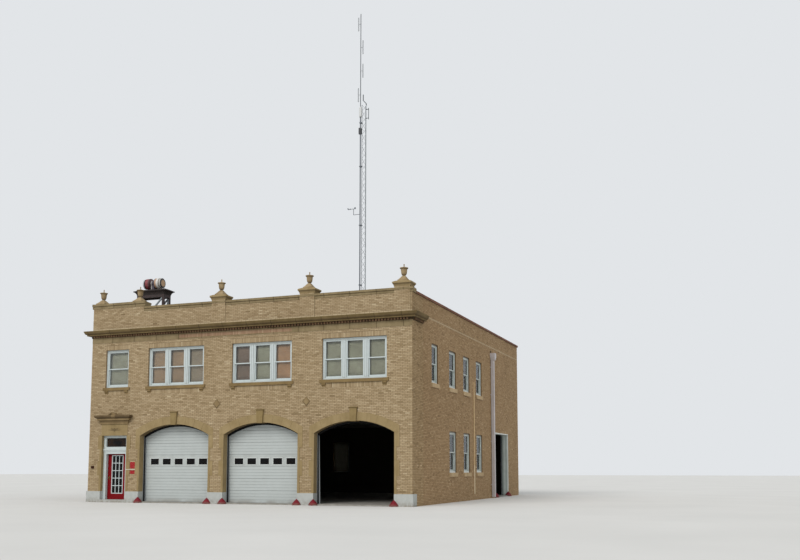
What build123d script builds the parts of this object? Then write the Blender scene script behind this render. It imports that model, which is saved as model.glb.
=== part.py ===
from build123d import *
from math import asin, cos, degrees, radians, sin, sqrt
import os

# A two-storey brick fire station with three arched engine bays, a stone-framed entry, a moulded
# cornice, a parapet with urns, a siren on its stand and a lattice radio mast behind.
# Millimetres. X runs along the front from left to right, Y from the front to the rear, Z up.
# The origin is the middle of the plan at ground level.

os.makedirs("parts", exist_ok=True)

# Plan: the front is an entry bay, the engine bays and a corner pier
first_bay_from_left = 4680.0
bay_count = 3
bay_pitch = 4438.0
bay_span = 3660.0
corner_pier_w = 788.0
width = first_bay_from_left + (bay_count - 1) * bay_pitch + bay_span / 2 + corner_pier_w
length = 18700.0
left = -width / 2
right = width / 2
front = -length / 2
rear = length / 2

# Walls
front_wall_t = 410.0
side_wall_t = 330.0
rear_wall_t = 330.0

# Levels
floor_z = 60.0
plinth_z = 512.0
plinth_out = 50.0
plinth_return = 410.0
upper_floor_z = 4400.0
slab_t = 250.0
storey_z = upper_floor_z - slab_t
roof_z = 7800.0
frieze_z = 7455.0
cornice_z = 7710.0
cornice_top_z = 8050.0
parapet_z = 8880.0
end_parapet_z = 9120.0
coping_t = 210.0
end_coping_t = 230.0
side_coping_t = 100.0
parapet_t = 330.0

# Engine bays: segmental arches with dressed stone surrounds
bay_spring_z = 3056.0
bay_crown_z = 3560.0
bays = [left + first_bay_from_left + i * bay_pitch for i in range(bay_count)]
ring_t = 355.0
quoin_wide = 230.0
quoin_narrow = 100.0
quoin_levels = [plinth_z, 1240.0, 1900.0, 2450.0]
stone_depth = 100.0
reveal_depth = 300.0
stone_out = 20.0
voussoirs = 4
joint_w = 9.0
joint_d = 7.0
bay_half = bay_span / 2
bay_rise = bay_crown_z - bay_spring_z
bay_radius = (bay_half ** 2 + bay_rise ** 2) / (2 * bay_rise)
bay_centre_z = bay_crown_z - bay_radius
ring_radius = bay_radius + ring_t
haunch_half = bay_half + quoin_wide
haunch_z = bay_centre_z + sqrt(ring_radius ** 2 - haunch_half ** 2)
haunch_angle = degrees(asin(bay_half / bay_radius))

# Keystones and diamonds
keystone_top = 330.0
keystone_foot = 270.0
keystone_z = 3530.0
keystone_top_z = 4080.0
keystone_out = 100.0
keystone_cap = 70.0
keystone_lap = 25.0
diamond_half_w = 190.0
diamond_half_h = 215.0
diamond_z = 4425.0
diamond_out = 15.0
diamond_depth = 60.0

# Entry: one door with a transom light, in a stone frame with a moulded hood
entry_from_left = 1422.0
entry_x = left + entry_from_left
entry_w = 1380.0
entry_head_z = 3085.0
entry_stone_wide = 215.0
entry_stone_narrow = 115.0
entry_block_w = 1470.0
entry_block_top_z = 3620.0
spray_boss = 75.0
spray_leaf = 170.0
spray_out = 14.0
hood_top_z = 4035.0
hood_out = 255.0
gable_half = 255.0
gable_h = 120.0
gable_sink = 25.0
step_z = 130.0
step_out = 50.0
frame_recess = 140.0
stop_depth = 150.0
stop_lap = 15.0
leaf_w = 1110.0
leaf_h = 2120.0
leaf_t = 45.0
clearance = 5.0
ledge_drop = 90.0
ledge_out = 50.0
ledge_t = 45.0
ledge_h = 170.0
transom_z = 2565.0
transom_top_z = 2975.0
leaf_stile = 235.0
leaf_top_rail = 75.0
leaf_bottom_rail = 262.0
lite_border = 36.0
lite_bar = 30.0
lite_out = 9.0
lite_columns = 3
lite_rows = 5
glass_t = 6.0
glass_lap = 12.0
knob_plate_w = 50.0
knob_plate_h = 170.0
knob_plate_t = 4.0
knob_reach = 54.0
knob_r = 26.0
knob_z = 1130.0
hinge_r = 9.0
hinge_h = 100.0
hinge_inset = 220.0
hinge_plate_w = 45.0
hinge_plate_t = 3.0
pin_r = 4.0
pin_gap = 0.4
knuckle_gap = 1.0

# Windows: wooden double-hung sashes
window_head_z = 7107.0
window_sill_z = 5335.0
window_recess = 100.0
side_window_recess = 50.0
window_depth = 125.0
window_frame = 85.0
window_board = 65.0
sash_t = 42.0
sash_rail = 45.0
sash_bottom_rail = 80.0
sash_inset = 18.0
pane_t = 5.0
triple_w = 2980.0
triple_mullion = 220.0
single_w = 1285.0
single_from_left = 1447.0
single_x = left + single_from_left
sill_t = 145.0
sill_lap = 100.0
sill_out = 60.0
corbel_w = 185.0
corbel_h = 170.0
corbel_inset = 95.0
corbel_depth = 60.0
sill_wash = 18.0
side_window_w = 1060.0
side_window_sill_z = 1365.0
side_window_head_z = 3270.0
side_window_pitch = 2272.0
side_window_count = 3
side_window_from_front = 5580.0
side_window_y = front + side_window_from_front
side_upper_sill_z = 5290.0
side_upper_head_z = 7040.0
front_side_window_from_front = 2950.0
front_side_window_y = front + front_side_window_from_front
front_side_window_w = 880.0
plain_sill_t = 190.0
plain_sill_lap = 70.0
plain_sill_out = 60.0

# Side vehicle opening
side_bay_from_front = 14740.0
side_bay_y = front + side_bay_from_front
side_bay_w = 2790.0
side_bay_head_z = 3480.0

# Sectional doors: shut in the first two bays, raised in the third and at the side
door_gap = 25.0
door_section_h = 530.0
door_section_t = 45.0
door_joint = 4.0
door_sections = 7
door_lap = 60.0
door_light_w = 435.0
door_light_h = 270.0
door_lights = 5
door_light_pitch = 646.0
door_light_z = 1873.0
door_light_section = 3
track_w = 50.0
seat = 0.3
raised_door_z = 3760.0
raised_door_start = 900.0
door_pane_inset = 15.0

# Guard domes at the foot of each vehicle opening
dome_r = 195.0
dome_h = 275.0
dome_foot = 55.0

# Cornice, coping, dies and urns
cornice_out = 310.0
cornice_return = 1300.0
dentil_w = 75.0
dentil_pitch = 140.0
dentil_h = 90.0
dentil_out = 90.0
cornice_bed = 35.0
cornice_fascia_out = 195.0
cornice_fascia_h = 60.0
frieze_out = 20.0
panel_from_left = 4840.0
panel_w = 5760.0
panel_x0 = left + panel_from_left
panel_x1 = panel_x0 + panel_w
panel_depth = 15.0
panel_margin = 45.0
end_section_w = 2865.0
coping_lap = 60.0
coping_bed_out = 22.0
coping_wash = 30.0
die_w = 700.0
die_depth = 480.0
die_out = 40.0
die_top_z = 9130.0
die_cap_t = 250.0
die_cap_lap = 75.0
die_cap_band = 110.0
corner_die_inset = 80.0
urn_foot_w = 440.0
end_urn_foot_w = 500.0
urn_foot_h = 225.0
urn_neck_w = 130.0
urn_stem_r = 50.0
urn_body_r = 135.0
urn_rim_r = 178.0
urn_body_h = 350.0
urn_lid_h = 165.0
urn_finial_r = 24.0
end_urn_inset = 385.0

# Siren and its stand on the roof
siren_from_left = 1285.0
siren_from_front = 2900.0
siren_x = left + siren_from_left
siren_y = front + siren_from_front
stand_w = 1930.0
stand_d = 800.0
stand_eave_z = 10400.0
stand_eave_t = 35.0
stand_hip_h = 85.0
stand_hip_in = 190.0
stand_cove_h = 190.0
stand_cove_in = 170.0
stand_beam_h = 130.0
stand_leg = 110.0
stand_foot_t = 12.0
stand_foot_w = 220.0
stand_brace = 65.0
stand_brace_h = 1500.0
siren_axis_z = 10835.0
siren_r = 265.0
siren_core_r = 130.0
siren_length = 1060.0
siren_disc_t = 90.0
siren_gap = 60.0
siren_motor_w = 200.0

# Radio mast on the ground behind the rear wall, with three brackets
mast_x = left + 5920.0
mast_face = 305.0
mast_gap = 420.0
mast_top_z = 25800.0
mast_leg_r = 16.0
mast_brace_w = 11.0
mast_bay_h = 400.0
mast_plate = 580.0
mast_plate_t = 20.0
bracket_zs = [storey_z, 6200.0, parapet_z - 300]
bracket_w = 50.0
bracket_plate_t = 10.0
bracket_plate_lap = 60.0
gauge_z = 18270.0
gauge_reach = 480.0
gauge_arm = 28.0
gauge_post_h = 430.0
gauge_bar_left = 330.0
gauge_bar_right = 170.0
gauge_cup_r = 42.0
gauge_cup_reach = 95.0
gauge_vane_w = 110.0
gauge_vane_h = 90.0
gauge_vane_t = 6.0
pole_r = 40.0
pole_from_leg_x = 70.0
pole_from_leg_y = 95.0
pole_top_z = 24940.0
clamp_zs = [1500.0, 5200.0, 9500.0, 13500.0, 17500.0, 21500.0, 24500.0]
clamp_h = 60.0
clamp_lap = 22.0
pole_box_z = 23750.0
pole_box_w = 160.0
pole_box_h = 420.0
radome_r = 98.0
radome_h = 710.0
whip_h = 6490.0
whip_r = 24.0
dipole_sides = [-1, 1, 1, -1]
dipole_first = whip_h * 0.127
dipole_pitch = whip_h * 0.255
dipole_h = whip_h * 0.146
dipole_reach = 130.0
dipole_gap = 60.0
dipole_rod = 16.0
panel_reach = 170.0
panel_foot_z = 24740.0
panel_h = 790.0
panel_arm_in = 90.0
stub_foot_z = 26090.0
stub_top_z = 26500.0
stub_reach = 220.0
stub_lap = 80.0
stub_w = 44.0

# Services on the right wall
downspout_from_front = 12560.0
downspout_y = front + downspout_from_front
downspout_w = 180.0
downspout_d = 160.0
conduit_from_front = 9110.0
conduit_y = front + conduit_from_front
conduit_r = 24.0
conduit_foot_z = 300.0
conduit_top_z = 5900.0
pipe_gap = 25.0
strap_h = 40.0
strap_zs = [700.0, 3000.0, 5500.0, 7000.0]
leader_z = 7400.0
leader_h = 380.0
leader_lap = 80.0
leader_t = 6.0
scupper_w = 200.0
scupper_h = 110.0

front_plane = Plane.XZ.offset(-front)
rear_plane = Plane.XZ.offset(-rear)
right_plane = Plane.YZ.offset(right)
left_plane = Plane.YZ.offset(left)


def save(builder, name):
    """Label a finished piece and write it."""
    builder.part.label = name
    export_step(builder.part, f"parts/{name}.step")


def rect(u0, v0, u1, v1, mode=Mode.ADD):
    """A rectangle given by two opposite corners."""
    with Locations(((u0 + u1) / 2, (v0 + v1) / 2)):
        Rectangle(abs(u1 - u0), abs(v1 - v0), mode=mode)


def slab(x0, y0, z0, x1, y1, z1, mode=Mode.ADD):
    """A box given by two opposite corners."""
    with Locations(((x0 + x1) / 2, (y0 + y1) / 2, (z0 + z1) / 2)):
        Box(abs(x1 - x0), abs(y1 - y0), abs(z1 - z0), mode=mode)


def arch_face(x, foot_z, half, side_z, crown_z, mode=Mode.ADD):
    """The outline of an arched opening, or of the outside of its surround."""
    with BuildLine() as outline:
        Polyline((x - half, side_z), (x - half, foot_z), (x + half, foot_z), (x + half, side_z))
        ThreePointArc((x + half, side_z), (x, crown_z), (x - half, side_z))
    make_face(outline.edges(), mode=mode)


def bar(x0, x1, points, mode=Mode.ADD):
    """A straight moulding along X, its profile given as corners (y, z)."""
    with BuildSketch(Plane.YZ.offset(x0)) as face:
        with BuildLine() as outline:
            Polyline(*points, close=True)
        make_face(outline.edges())
    extrude(face.sketch, amount=x1 - x0, mode=mode)


def flared_block(x, y, levels):
    """A square or oblong block with concave sides, through sections (height, width, depth)."""
    sections = []
    for z, w, d in levels:
        with BuildSketch(Plane.XY.offset(z)) as face:
            with Locations((x, y)):
                Rectangle(w, d)
        sections.append(face.sketch)
    loft(sections)


# Keystones: tapered blocks that stand out of each arch, under a small cap
with BuildPart() as keystones:
    for bay_x in bays:
        with BuildSketch(front_plane.offset(keystone_out)):
            with BuildLine():
                Polyline((bay_x - keystone_foot / 2, keystone_z),
                         (bay_x + keystone_foot / 2, keystone_z),
                         (bay_x + keystone_top / 2, keystone_top_z),
                         (bay_x - keystone_top / 2, keystone_top_z),
                         close=True)
            make_face()
        extrude(amount=-(keystone_out + reveal_depth))
        bar(bay_x - keystone_top / 2 - keystone_lap, bay_x + keystone_top / 2 + keystone_lap,
            [(front, keystone_top_z), (front - keystone_out, keystone_top_z),
             (front - keystone_out - keystone_lap, keystone_top_z + keystone_cap * 0.5),
             (front - keystone_out - keystone_lap, keystone_top_z + keystone_cap * 0.8),
             (front, keystone_top_z + keystone_cap)])
save(keystones, "keystones")

# Arch surrounds: jointed voussoirs on alternating long and short jamb stones, which line the reveal
key_angle = degrees(asin(keystone_foot / 2 / bay_radius))
joint_angles = [key_angle + (haunch_angle - key_angle) * i / voussoirs for i in range(1, voussoirs)]
joint_radius = bay_radius + ring_t / 2
with BuildPart() as arch_surrounds:
    with BuildSketch(front_plane.offset(stone_out)):
        for bay_x in bays:
            arch_face(bay_x, quoin_levels[-1], haunch_half, haunch_z, bay_crown_z + ring_t)
            for i, low in enumerate(quoin_levels[:-1]):
                reach = bay_half + (quoin_wide if i % 2 else quoin_narrow)
                rect(bay_x - reach, low, bay_x + reach, quoin_levels[i + 1])
        for bay_x in bays:
            arch_face(bay_x, 0, bay_half, bay_spring_z, bay_crown_z, mode=Mode.SUBTRACT)
    extrude(amount=-(stone_out + reveal_depth))
    with BuildSketch(front_plane.offset(stone_out)):
        for bay_x in bays:
            for side in (-1, 1):
                for angle in joint_angles:
                    with Locations((bay_x + side * joint_radius * sin(radians(angle)),
                                    bay_centre_z + joint_radius * cos(radians(angle)))):
                        Rectangle(joint_w, ring_t * 1.3, rotation=-side * angle)
                for level in quoin_levels[1:] + [bay_spring_z]:
                    with Locations((bay_x + side * (bay_half + quoin_wide / 2), level)):
                        Rectangle(quoin_wide * 1.1, joint_w)
    extrude(amount=-joint_d, mode=Mode.SUBTRACT)
    add(keystones.part, mode=Mode.SUBTRACT)
save(arch_surrounds, "arch_surrounds")

# Diamonds between the arches
pier_xs = [bay_x + bay_pitch / 2 for bay_x in bays[:-1]]
with BuildPart() as stone_diamonds:
    for pier_x in pier_xs:
        with BuildSketch(front_plane.offset(diamond_out)):
            with BuildLine():
                Polyline((pier_x - diamond_half_w, diamond_z), (pier_x, diamond_z - diamond_half_h),
                         (pier_x + diamond_half_w, diamond_z), (pier_x, diamond_z + diamond_half_h),
                         close=True)
            make_face()
        extrude(amount=-(diamond_out + diamond_depth))
save(stone_diamonds, "stone_diamonds")

# Entry surround: jamb stones that line the reveal, and a deep lintel block with a small spray
entry_half = entry_w / 2
entry_levels = quoin_levels + [entry_head_z]
with BuildPart() as entry_surround:
    with BuildSketch(front_plane.offset(stone_out)):
        rect(entry_x - entry_block_w / 2, entry_head_z, entry_x + entry_block_w / 2, entry_block_top_z)
        for i, low in enumerate(quoin_levels):
            reach = entry_half + (entry_stone_wide if i % 2 else entry_stone_narrow)
            rect(entry_x - reach, low, entry_x + reach, entry_levels[i + 1])
        rect(entry_x - entry_half, 0, entry_x + entry_half, entry_head_z, mode=Mode.SUBTRACT)
    extrude(amount=-(stone_out + frame_recess))
    with BuildSketch(front_plane.offset(stone_out)):
        for side in (-1, 1):
            for level in entry_levels[1:]:
                with Locations((entry_x + side * (entry_half + entry_stone_wide / 2), level)):
                    Rectangle(entry_stone_wide * 1.1, joint_w)
    extrude(amount=-joint_d, mode=Mode.SUBTRACT)
    spray_z = (entry_head_z + entry_block_top_z) / 2
    with BuildSketch(front_plane.offset(stone_out)):
        with Locations((entry_x, spray_z)):
            Ellipse(spray_boss * 0.8, spray_boss)
        for side in (-1, 1):
            with Locations((entry_x + side * spray_leaf, spray_z)):
                Ellipse(spray_leaf, spray_boss * 0.35)
            with Locations((entry_x + side * spray_leaf * 0.7, spray_z + spray_boss * 0.5)):
                Ellipse(spray_leaf * 0.6, spray_boss * 0.3, rotation=side * 28)
    extrude(amount=spray_out)
save(entry_surround, "entry_surround")

# Plinth: the full-depth base course of the front piers, with a skirt that returns at the corners
pier_edges = [(left, entry_x - entry_half), (entry_x + entry_half, bays[0] - bay_half)]
pier_edges += [(bays[i] + bay_half, bays[i + 1] - bay_half) for i in range(bay_count - 1)]
pier_edges += [(bays[-1] + bay_half, right)]
side_y0 = front + front_wall_t
side_y1 = rear - rear_wall_t
with BuildPart() as plinth:
    for x0, x1 in pier_edges:
        skirt_x0 = x0 - plinth_out if x0 == left else x0
        skirt_x1 = x1 + plinth_out if x1 == right else x1
        slab(x0, front, 0, x1, side_y0, plinth_z)
        slab(skirt_x0, front - plinth_out, 0, skirt_x1, front, plinth_z)
    for x0, x1 in ((left - plinth_out, left), (right, right + plinth_out)):
        slab(x0, front, 0, x1, front + plinth_return, plinth_z)
save(plinth, "plinth")

# Front piers of the ground storey, cut for the jamb stones
with BuildPart() as front_piers:
    for x0, x1 in pier_edges:
        slab(x0, front, plinth_z, x1, side_y0, bay_spring_z)
    add(arch_surrounds.part, mode=Mode.SUBTRACT)
    add(entry_surround.part, mode=Mode.SUBTRACT)
save(front_piers, "front_piers")

# Front wall over the arches
with BuildPart() as front_arch_wall:
    with BuildSketch(front_plane):
        rect(left, bay_spring_z, right, storey_z)
        for bay_x in bays:
            arch_face(bay_x, 0, bay_half, bay_spring_z, bay_crown_z, mode=Mode.SUBTRACT)
        rect(entry_x - entry_half, 0, entry_x + entry_half, entry_head_z, mode=Mode.SUBTRACT)
    extrude(amount=-front_wall_t)
    add(arch_surrounds.part, mode=Mode.SUBTRACT)
    add(entry_surround.part, mode=Mode.SUBTRACT)
    add(keystones.part, mode=Mode.SUBTRACT)
    add(stone_diamonds.part, mode=Mode.SUBTRACT)
save(front_arch_wall, "front_arch_wall")

# Window sills of the front: weathered stone slabs on two small rounded corbels each
front_windows = [(single_x, single_w, 1)] + [(bay_x, triple_w, 3) for bay_x in bays]
sill_foot_z = window_sill_z - sill_t
corbel_out = sill_out - 15
with BuildPart() as window_sills:
    for x, w, _ in front_windows:
        reach = w / 2 + sill_lap
        bar(x - reach, x + reach,
            [(front + window_recess, window_sill_z), (front, window_sill_z),
             (front - sill_out, window_sill_z - sill_wash), (front - sill_out, sill_foot_z),
             (front + window_recess, sill_foot_z)])
        for side in (-1, 1):
            corbel_x = x + side * (reach - corbel_inset - corbel_w / 2)
            with BuildSketch(Plane.YZ.offset(corbel_x - corbel_w / 2)):
                with BuildLine():
                    Polyline((front - 8, sill_foot_z - corbel_h),
                             (front + corbel_depth, sill_foot_z - corbel_h),
                             (front + corbel_depth, sill_foot_z), (front - corbel_out, sill_foot_z),
                             (front - corbel_out, sill_foot_z - corbel_h * 0.45))
                    RadiusArc((front - corbel_out, sill_foot_z - corbel_h * 0.45),
                              (front - 8, sill_foot_z - corbel_h), corbel_h * 0.62)
                make_face()
            extrude(amount=corbel_w)
save(window_sills, "window_sills")

# Front wall of the upper storey, rebated at the top for the frieze and the cornice
with BuildPart() as front_upper_wall:
    with BuildSketch(front_plane):
        rect(left, storey_z, right, cornice_top_z)
        for x, w, _ in front_windows:
            rect(x - w / 2, window_sill_z, x + w / 2, window_head_z, mode=Mode.SUBTRACT)
    extrude(amount=-front_wall_t)
    slab(left, front, frieze_z, right, front + stone_depth, cornice_top_z, mode=Mode.SUBTRACT)
    add(window_sills.part, mode=Mode.SUBTRACT)
    add(stone_diamonds.part, mode=Mode.SUBTRACT)
save(front_upper_wall, "front_upper_wall")

# Windows of the plain walls, each as (place along the wall, width, sill, head)
lower_side = [(side_window_y + i * side_window_pitch, side_window_w, side_window_sill_z,
               side_window_head_z) for i in range(side_window_count)]
upper_side = [(front_side_window_y, front_side_window_w, side_upper_sill_z, side_upper_head_z)]
upper_side += [(y, w, side_upper_sill_z, side_upper_head_z) for y, w, _, _ in lower_side]
last_y = side_window_y + (side_window_count + 1) * side_window_pitch
right_windows = lower_side + upper_side
left_windows = right_windows + [(last_y, side_window_w, side_window_sill_z, side_window_head_z),
                                (last_y, side_window_w, side_upper_sill_z, side_upper_head_z)]
rear_xs = [single_x] + bays
rear_windows = [(x, side_window_w, side_window_sill_z, side_window_head_z) for x in rear_xs]
rear_windows += [(x, side_window_w, side_upper_sill_z, side_upper_head_z) for x in rear_xs]


def plain_sills(plane, outward, windows):
    """Sills of plain windows, standing a little proud of the wall."""
    for u, w, sill, _ in windows:
        with BuildSketch(plane.offset(outward * plain_sill_out)) as face:
            rect(u - w / 2 - plain_sill_lap, sill - plain_sill_t, u + w / 2 + plain_sill_lap, sill)
        extrude(face.sketch, amount=-outward * (plain_sill_out + side_window_recess))


with BuildPart() as side_sills:
    plain_sills(right_plane, 1, right_windows)
    plain_sills(left_plane, -1, left_windows)
    plain_sills(rear_plane, -1, rear_windows)
save(side_sills, "side_sills")

side_bay_y0 = side_bay_y - side_bay_w / 2
side_bay_y1 = side_bay_y + side_bay_w / 2

# Right wall: the lower part stands each side of the vehicle opening, the upper part spans it
with BuildPart() as right_lower_wall:
    with BuildSketch(right_plane):
        rect(side_y0, 0, side_bay_y0, side_bay_head_z)
        rect(side_bay_y1, 0, side_y1, side_bay_head_z)
        for y, w, sill, head in lower_side:
            rect(y - w / 2, sill, y + w / 2, head, mode=Mode.SUBTRACT)
    extrude(amount=-side_wall_t)
    add(side_sills.part, mode=Mode.SUBTRACT)
save(right_lower_wall, "right_lower_wall")

with BuildPart() as right_upper_wall:
    with BuildSketch(right_plane):
        rect(side_y0, side_bay_head_z, side_y1, cornice_top_z)
        for y, w, sill, head in upper_side:
            rect(y - w / 2, sill, y + w / 2, head, mode=Mode.SUBTRACT)
        rect(downspout_y - scupper_w / 2, roof_z, downspout_y + scupper_w / 2, roof_z + scupper_h,
             mode=Mode.SUBTRACT)
    extrude(amount=-side_wall_t)
    add(side_sills.part, mode=Mode.SUBTRACT)
save(right_upper_wall, "right_upper_wall")

with BuildPart() as left_wall:
    with BuildSketch(left_plane):
        rect(side_y0, 0, side_y1, cornice_top_z)
        for y, w, sill, head in left_windows:
            rect(y - w / 2, sill, y + w / 2, head, mode=Mode.SUBTRACT)
    extrude(amount=side_wall_t)
    add(side_sills.part, mode=Mode.SUBTRACT)
save(left_wall, "left_wall")

with BuildPart() as rear_wall:
    with BuildSketch(rear_plane):
        rect(left, 0, right, cornice_top_z)
        for x, w, sill, head in rear_windows:
            rect(x - w / 2, sill, x + w / 2, head, mode=Mode.SUBTRACT)
    extrude(amount=rear_wall_t)
    add(side_sills.part, mode=Mode.SUBTRACT)
save(rear_wall, "rear_wall")

# Floors: the ground slab runs out through the vehicle openings
inner_left = left + side_wall_t
inner_right = right - side_wall_t
with BuildPart() as ground_slab:
    with BuildSketch(Plane.XY):
        rect(inner_left, side_y0, inner_right, side_y1)
        for bay_x in bays:
            rect(bay_x - bay_half, front, bay_x + bay_half, side_y0)
        rect(inner_right, side_bay_y0, right, side_bay_y1)
    extrude(amount=floor_z)
save(ground_slab, "ground_slab")

with BuildPart() as upper_floor:
    slab(inner_left, side_y0, storey_z, inner_right, side_y1, upper_floor_z)
save(upper_floor, "upper_floor")

with BuildPart() as roof_deck:
    slab(inner_left, side_y0, roof_z - slab_t, inner_right, side_y1, roof_z)
save(roof_deck, "roof_deck")

# Frieze: a stone band with a sunk brick panel over the bays
with BuildPart() as frieze_band:
    slab(left, front - frieze_out, frieze_z, right, front + stone_depth, cornice_z)
    slab(panel_x0, front - frieze_out, frieze_z + panel_margin, panel_x1,
         front - frieze_out + panel_depth, cornice_z - panel_margin, mode=Mode.SUBTRACT)
save(frieze_band, "frieze_band")

# Cornice: fascia and cyma, swept round short side returns, over a row of dentils
cornice_h = cornice_top_z - cornice_z
fascia_z = dentil_h + 10
with BuildPart() as cornice:
    with BuildLine() as cornice_path:
        Polyline((left, front + cornice_return, cornice_z), (left, front, cornice_z),
                 (right, front, cornice_z), (right, front + cornice_return, cornice_z))
    with BuildSketch(Plane(origin=(left, front + cornice_return, cornice_z), x_dir=(-1, 0, 0),
                           z_dir=(0, 1, 0))):
        with BuildLine():
            Polyline((0, cornice_h), (0, 0), (cornice_bed, 0), (cornice_bed, fascia_z),
                     (cornice_fascia_out, fascia_z), (cornice_fascia_out, fascia_z + cornice_fascia_h),
                     (cornice_fascia_out + 15, fascia_z + cornice_fascia_h))
            Spline((cornice_fascia_out + 15, fascia_z + cornice_fascia_h),
                   (cornice_out - 10, cornice_h - 55), tangents=((1, 0.25), (0.25, 1)))
            Polyline((cornice_out - 10, cornice_h - 55), (cornice_out, cornice_h - 55),
                     (cornice_out, cornice_h - 20), (0, cornice_h))
        make_face()
    sweep(path=cornice_path.line, transition=Transition.RIGHT)
    slab(left, front, cornice_z, right, front + stone_depth, cornice_top_z)
save(cornice, "cornice")

dentil_count = int((width - dentil_w) // dentil_pitch)
return_count = int((cornice_return - dentil_w) // dentil_pitch)
strip_z = cornice_z + fascia_z - 25
dentil_z = cornice_z + 10 + dentil_h / 2
with BuildPart() as dentils:
    slab(left - cornice_bed, front - cornice_bed - 15, strip_z, right + cornice_bed, front - cornice_bed,
         cornice_z + fascia_z)
    with Locations((0, front - cornice_bed - dentil_out / 2, dentil_z)):
        with GridLocations(dentil_pitch, 1, dentil_count, 1):
            Box(dentil_w, dentil_out, dentil_h)
    for side in (-1, 1):
        wall_x = side * (right + cornice_bed)
        slab(wall_x, front - cornice_bed - 15, strip_z, wall_x + side * 15, front + cornice_return,
             cornice_z + fascia_z)
        with Locations((wall_x + side * dentil_out / 2, front + cornice_return / 2, dentil_z)):
            with GridLocations(1, dentil_pitch, 1, return_count):
                Box(dentil_out, dentil_w, dentil_h)
save(dentils, "dentils")

# Parapets: raised over the entry bay, level over the engine bays, plain at the sides and rear
end_x = left + end_section_w
die_xs = pier_xs + [right - die_w / 2 - corner_die_inset]
die_y = front - die_out + die_depth / 2
with BuildPart() as front_parapet:
    slab(left, front, cornice_top_z, end_x, side_y0, end_parapet_z)
    slab(end_x, front, cornice_top_z, right, front + parapet_t, parapet_z)
    for x in die_xs:
        slab(x - die_w / 2, front - die_out, cornice_top_z, x + die_w / 2, front - die_out + die_depth,
             parapet_z, mode=Mode.SUBTRACT)
save(front_parapet, "front_parapet")

# Dies: brick posts under flared stone caps
with BuildPart() as parapet_dies:
    for x in die_xs:
        slab(x - die_w / 2, front - die_out, cornice_top_z, x + die_w / 2,
             front - die_out + die_depth, die_top_z)
save(parapet_dies, "parapet_dies")

with BuildPart() as die_caps:
    for x in die_xs:
        band_z = die_top_z + die_cap_t - die_cap_band
        flared_block(x, die_y, [(die_top_z, die_w + 20, die_depth + 20),
                                (die_top_z + (band_z - die_top_z) * 0.55, die_w + 60, die_depth + 60),
                                (band_z, die_w + 2 * die_cap_lap, die_depth + 2 * die_cap_lap)])
        with BuildSketch(Plane.XY.offset(band_z)):
            with Locations((x, die_y)):
                Rectangle(die_w + 2 * die_cap_lap, die_depth + 2 * die_cap_lap)
        extrude(amount=die_cap_band * 0.55)
        flared_block(x, die_y, [(band_z + die_cap_band * 0.55, die_w + 2 * die_cap_lap,
                                 die_depth + 2 * die_cap_lap),
                                (die_top_z + die_cap_t, urn_foot_w + 120, urn_foot_w + 60)])
save(die_caps, "die_caps")

with BuildPart() as side_parapets:
    slab(left, side_y0, cornice_top_z, left + parapet_t, rear, parapet_z)
    slab(right - parapet_t, front + parapet_t, cornice_top_z, right, rear, parapet_z)
    slab(left, rear - parapet_t, cornice_top_z, right, rear, parapet_z)
    add(parapet_dies.part, mode=Mode.SUBTRACT)
save(side_parapets, "side_parapets")


def coping_run(x0, x1, z, t, wall_t):
    """A front coping: a bed band, a wider fascia and a top that sheds water to the rear."""
    y0 = front
    y1 = front + wall_t
    bar(x0, x1, [(y0 - coping_bed_out, z), (y0 - coping_bed_out, z + t * 0.48),
                 (y0 - coping_lap, z + t * 0.56), (y0 - coping_lap, z + t),
                 (y1 + coping_lap, z + t - coping_wash), (y1 + coping_lap, z + t * 0.5),
                 (y1 + coping_bed_out, z + t * 0.48), (y1 + coping_bed_out, z)])


# Copings: moulded stone on the front, tiles on the sides and the rear
with BuildPart() as front_coping:
    coping_run(left - coping_lap, end_x + coping_lap, end_parapet_z, end_coping_t, front_wall_t)
    coping_run(end_x, right + coping_lap, parapet_z, coping_t, parapet_t)
    slab(left, front, cornice_top_z, end_x, side_y0, end_parapet_z, mode=Mode.SUBTRACT)
    add(parapet_dies.part, mode=Mode.SUBTRACT)
    add(die_caps.part, mode=Mode.SUBTRACT)
save(front_coping, "front_coping")

side_coping_z = parapet_z + side_coping_t
with BuildPart() as side_copings:
    slab(left - coping_lap, side_y0 + coping_lap, parapet_z, left + parapet_t + coping_lap,
         rear + coping_lap, side_coping_z)
    slab(right - parapet_t - coping_lap, front + parapet_t + coping_lap, parapet_z,
         right + coping_lap, rear + coping_lap, side_coping_z)
    slab(left - coping_lap, rear - parapet_t - coping_lap, parapet_z, right + coping_lap,
         rear + coping_lap, side_coping_z)
    add(parapet_dies.part, mode=Mode.SUBTRACT)
save(side_copings, "side_copings")

# Urns: flared feet, bowls with lids and finials, on the raised section and on the dies
end_urn_z = end_parapet_z + end_coping_t
urn_places = [(left + end_urn_inset, front + front_wall_t / 2, end_urn_z, end_urn_foot_w),
              (end_x - end_urn_inset, front + front_wall_t / 2, end_urn_z, end_urn_foot_w)]
urn_places += [(x, die_y, die_top_z + die_cap_t, urn_foot_w) for x in die_xs]


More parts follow.
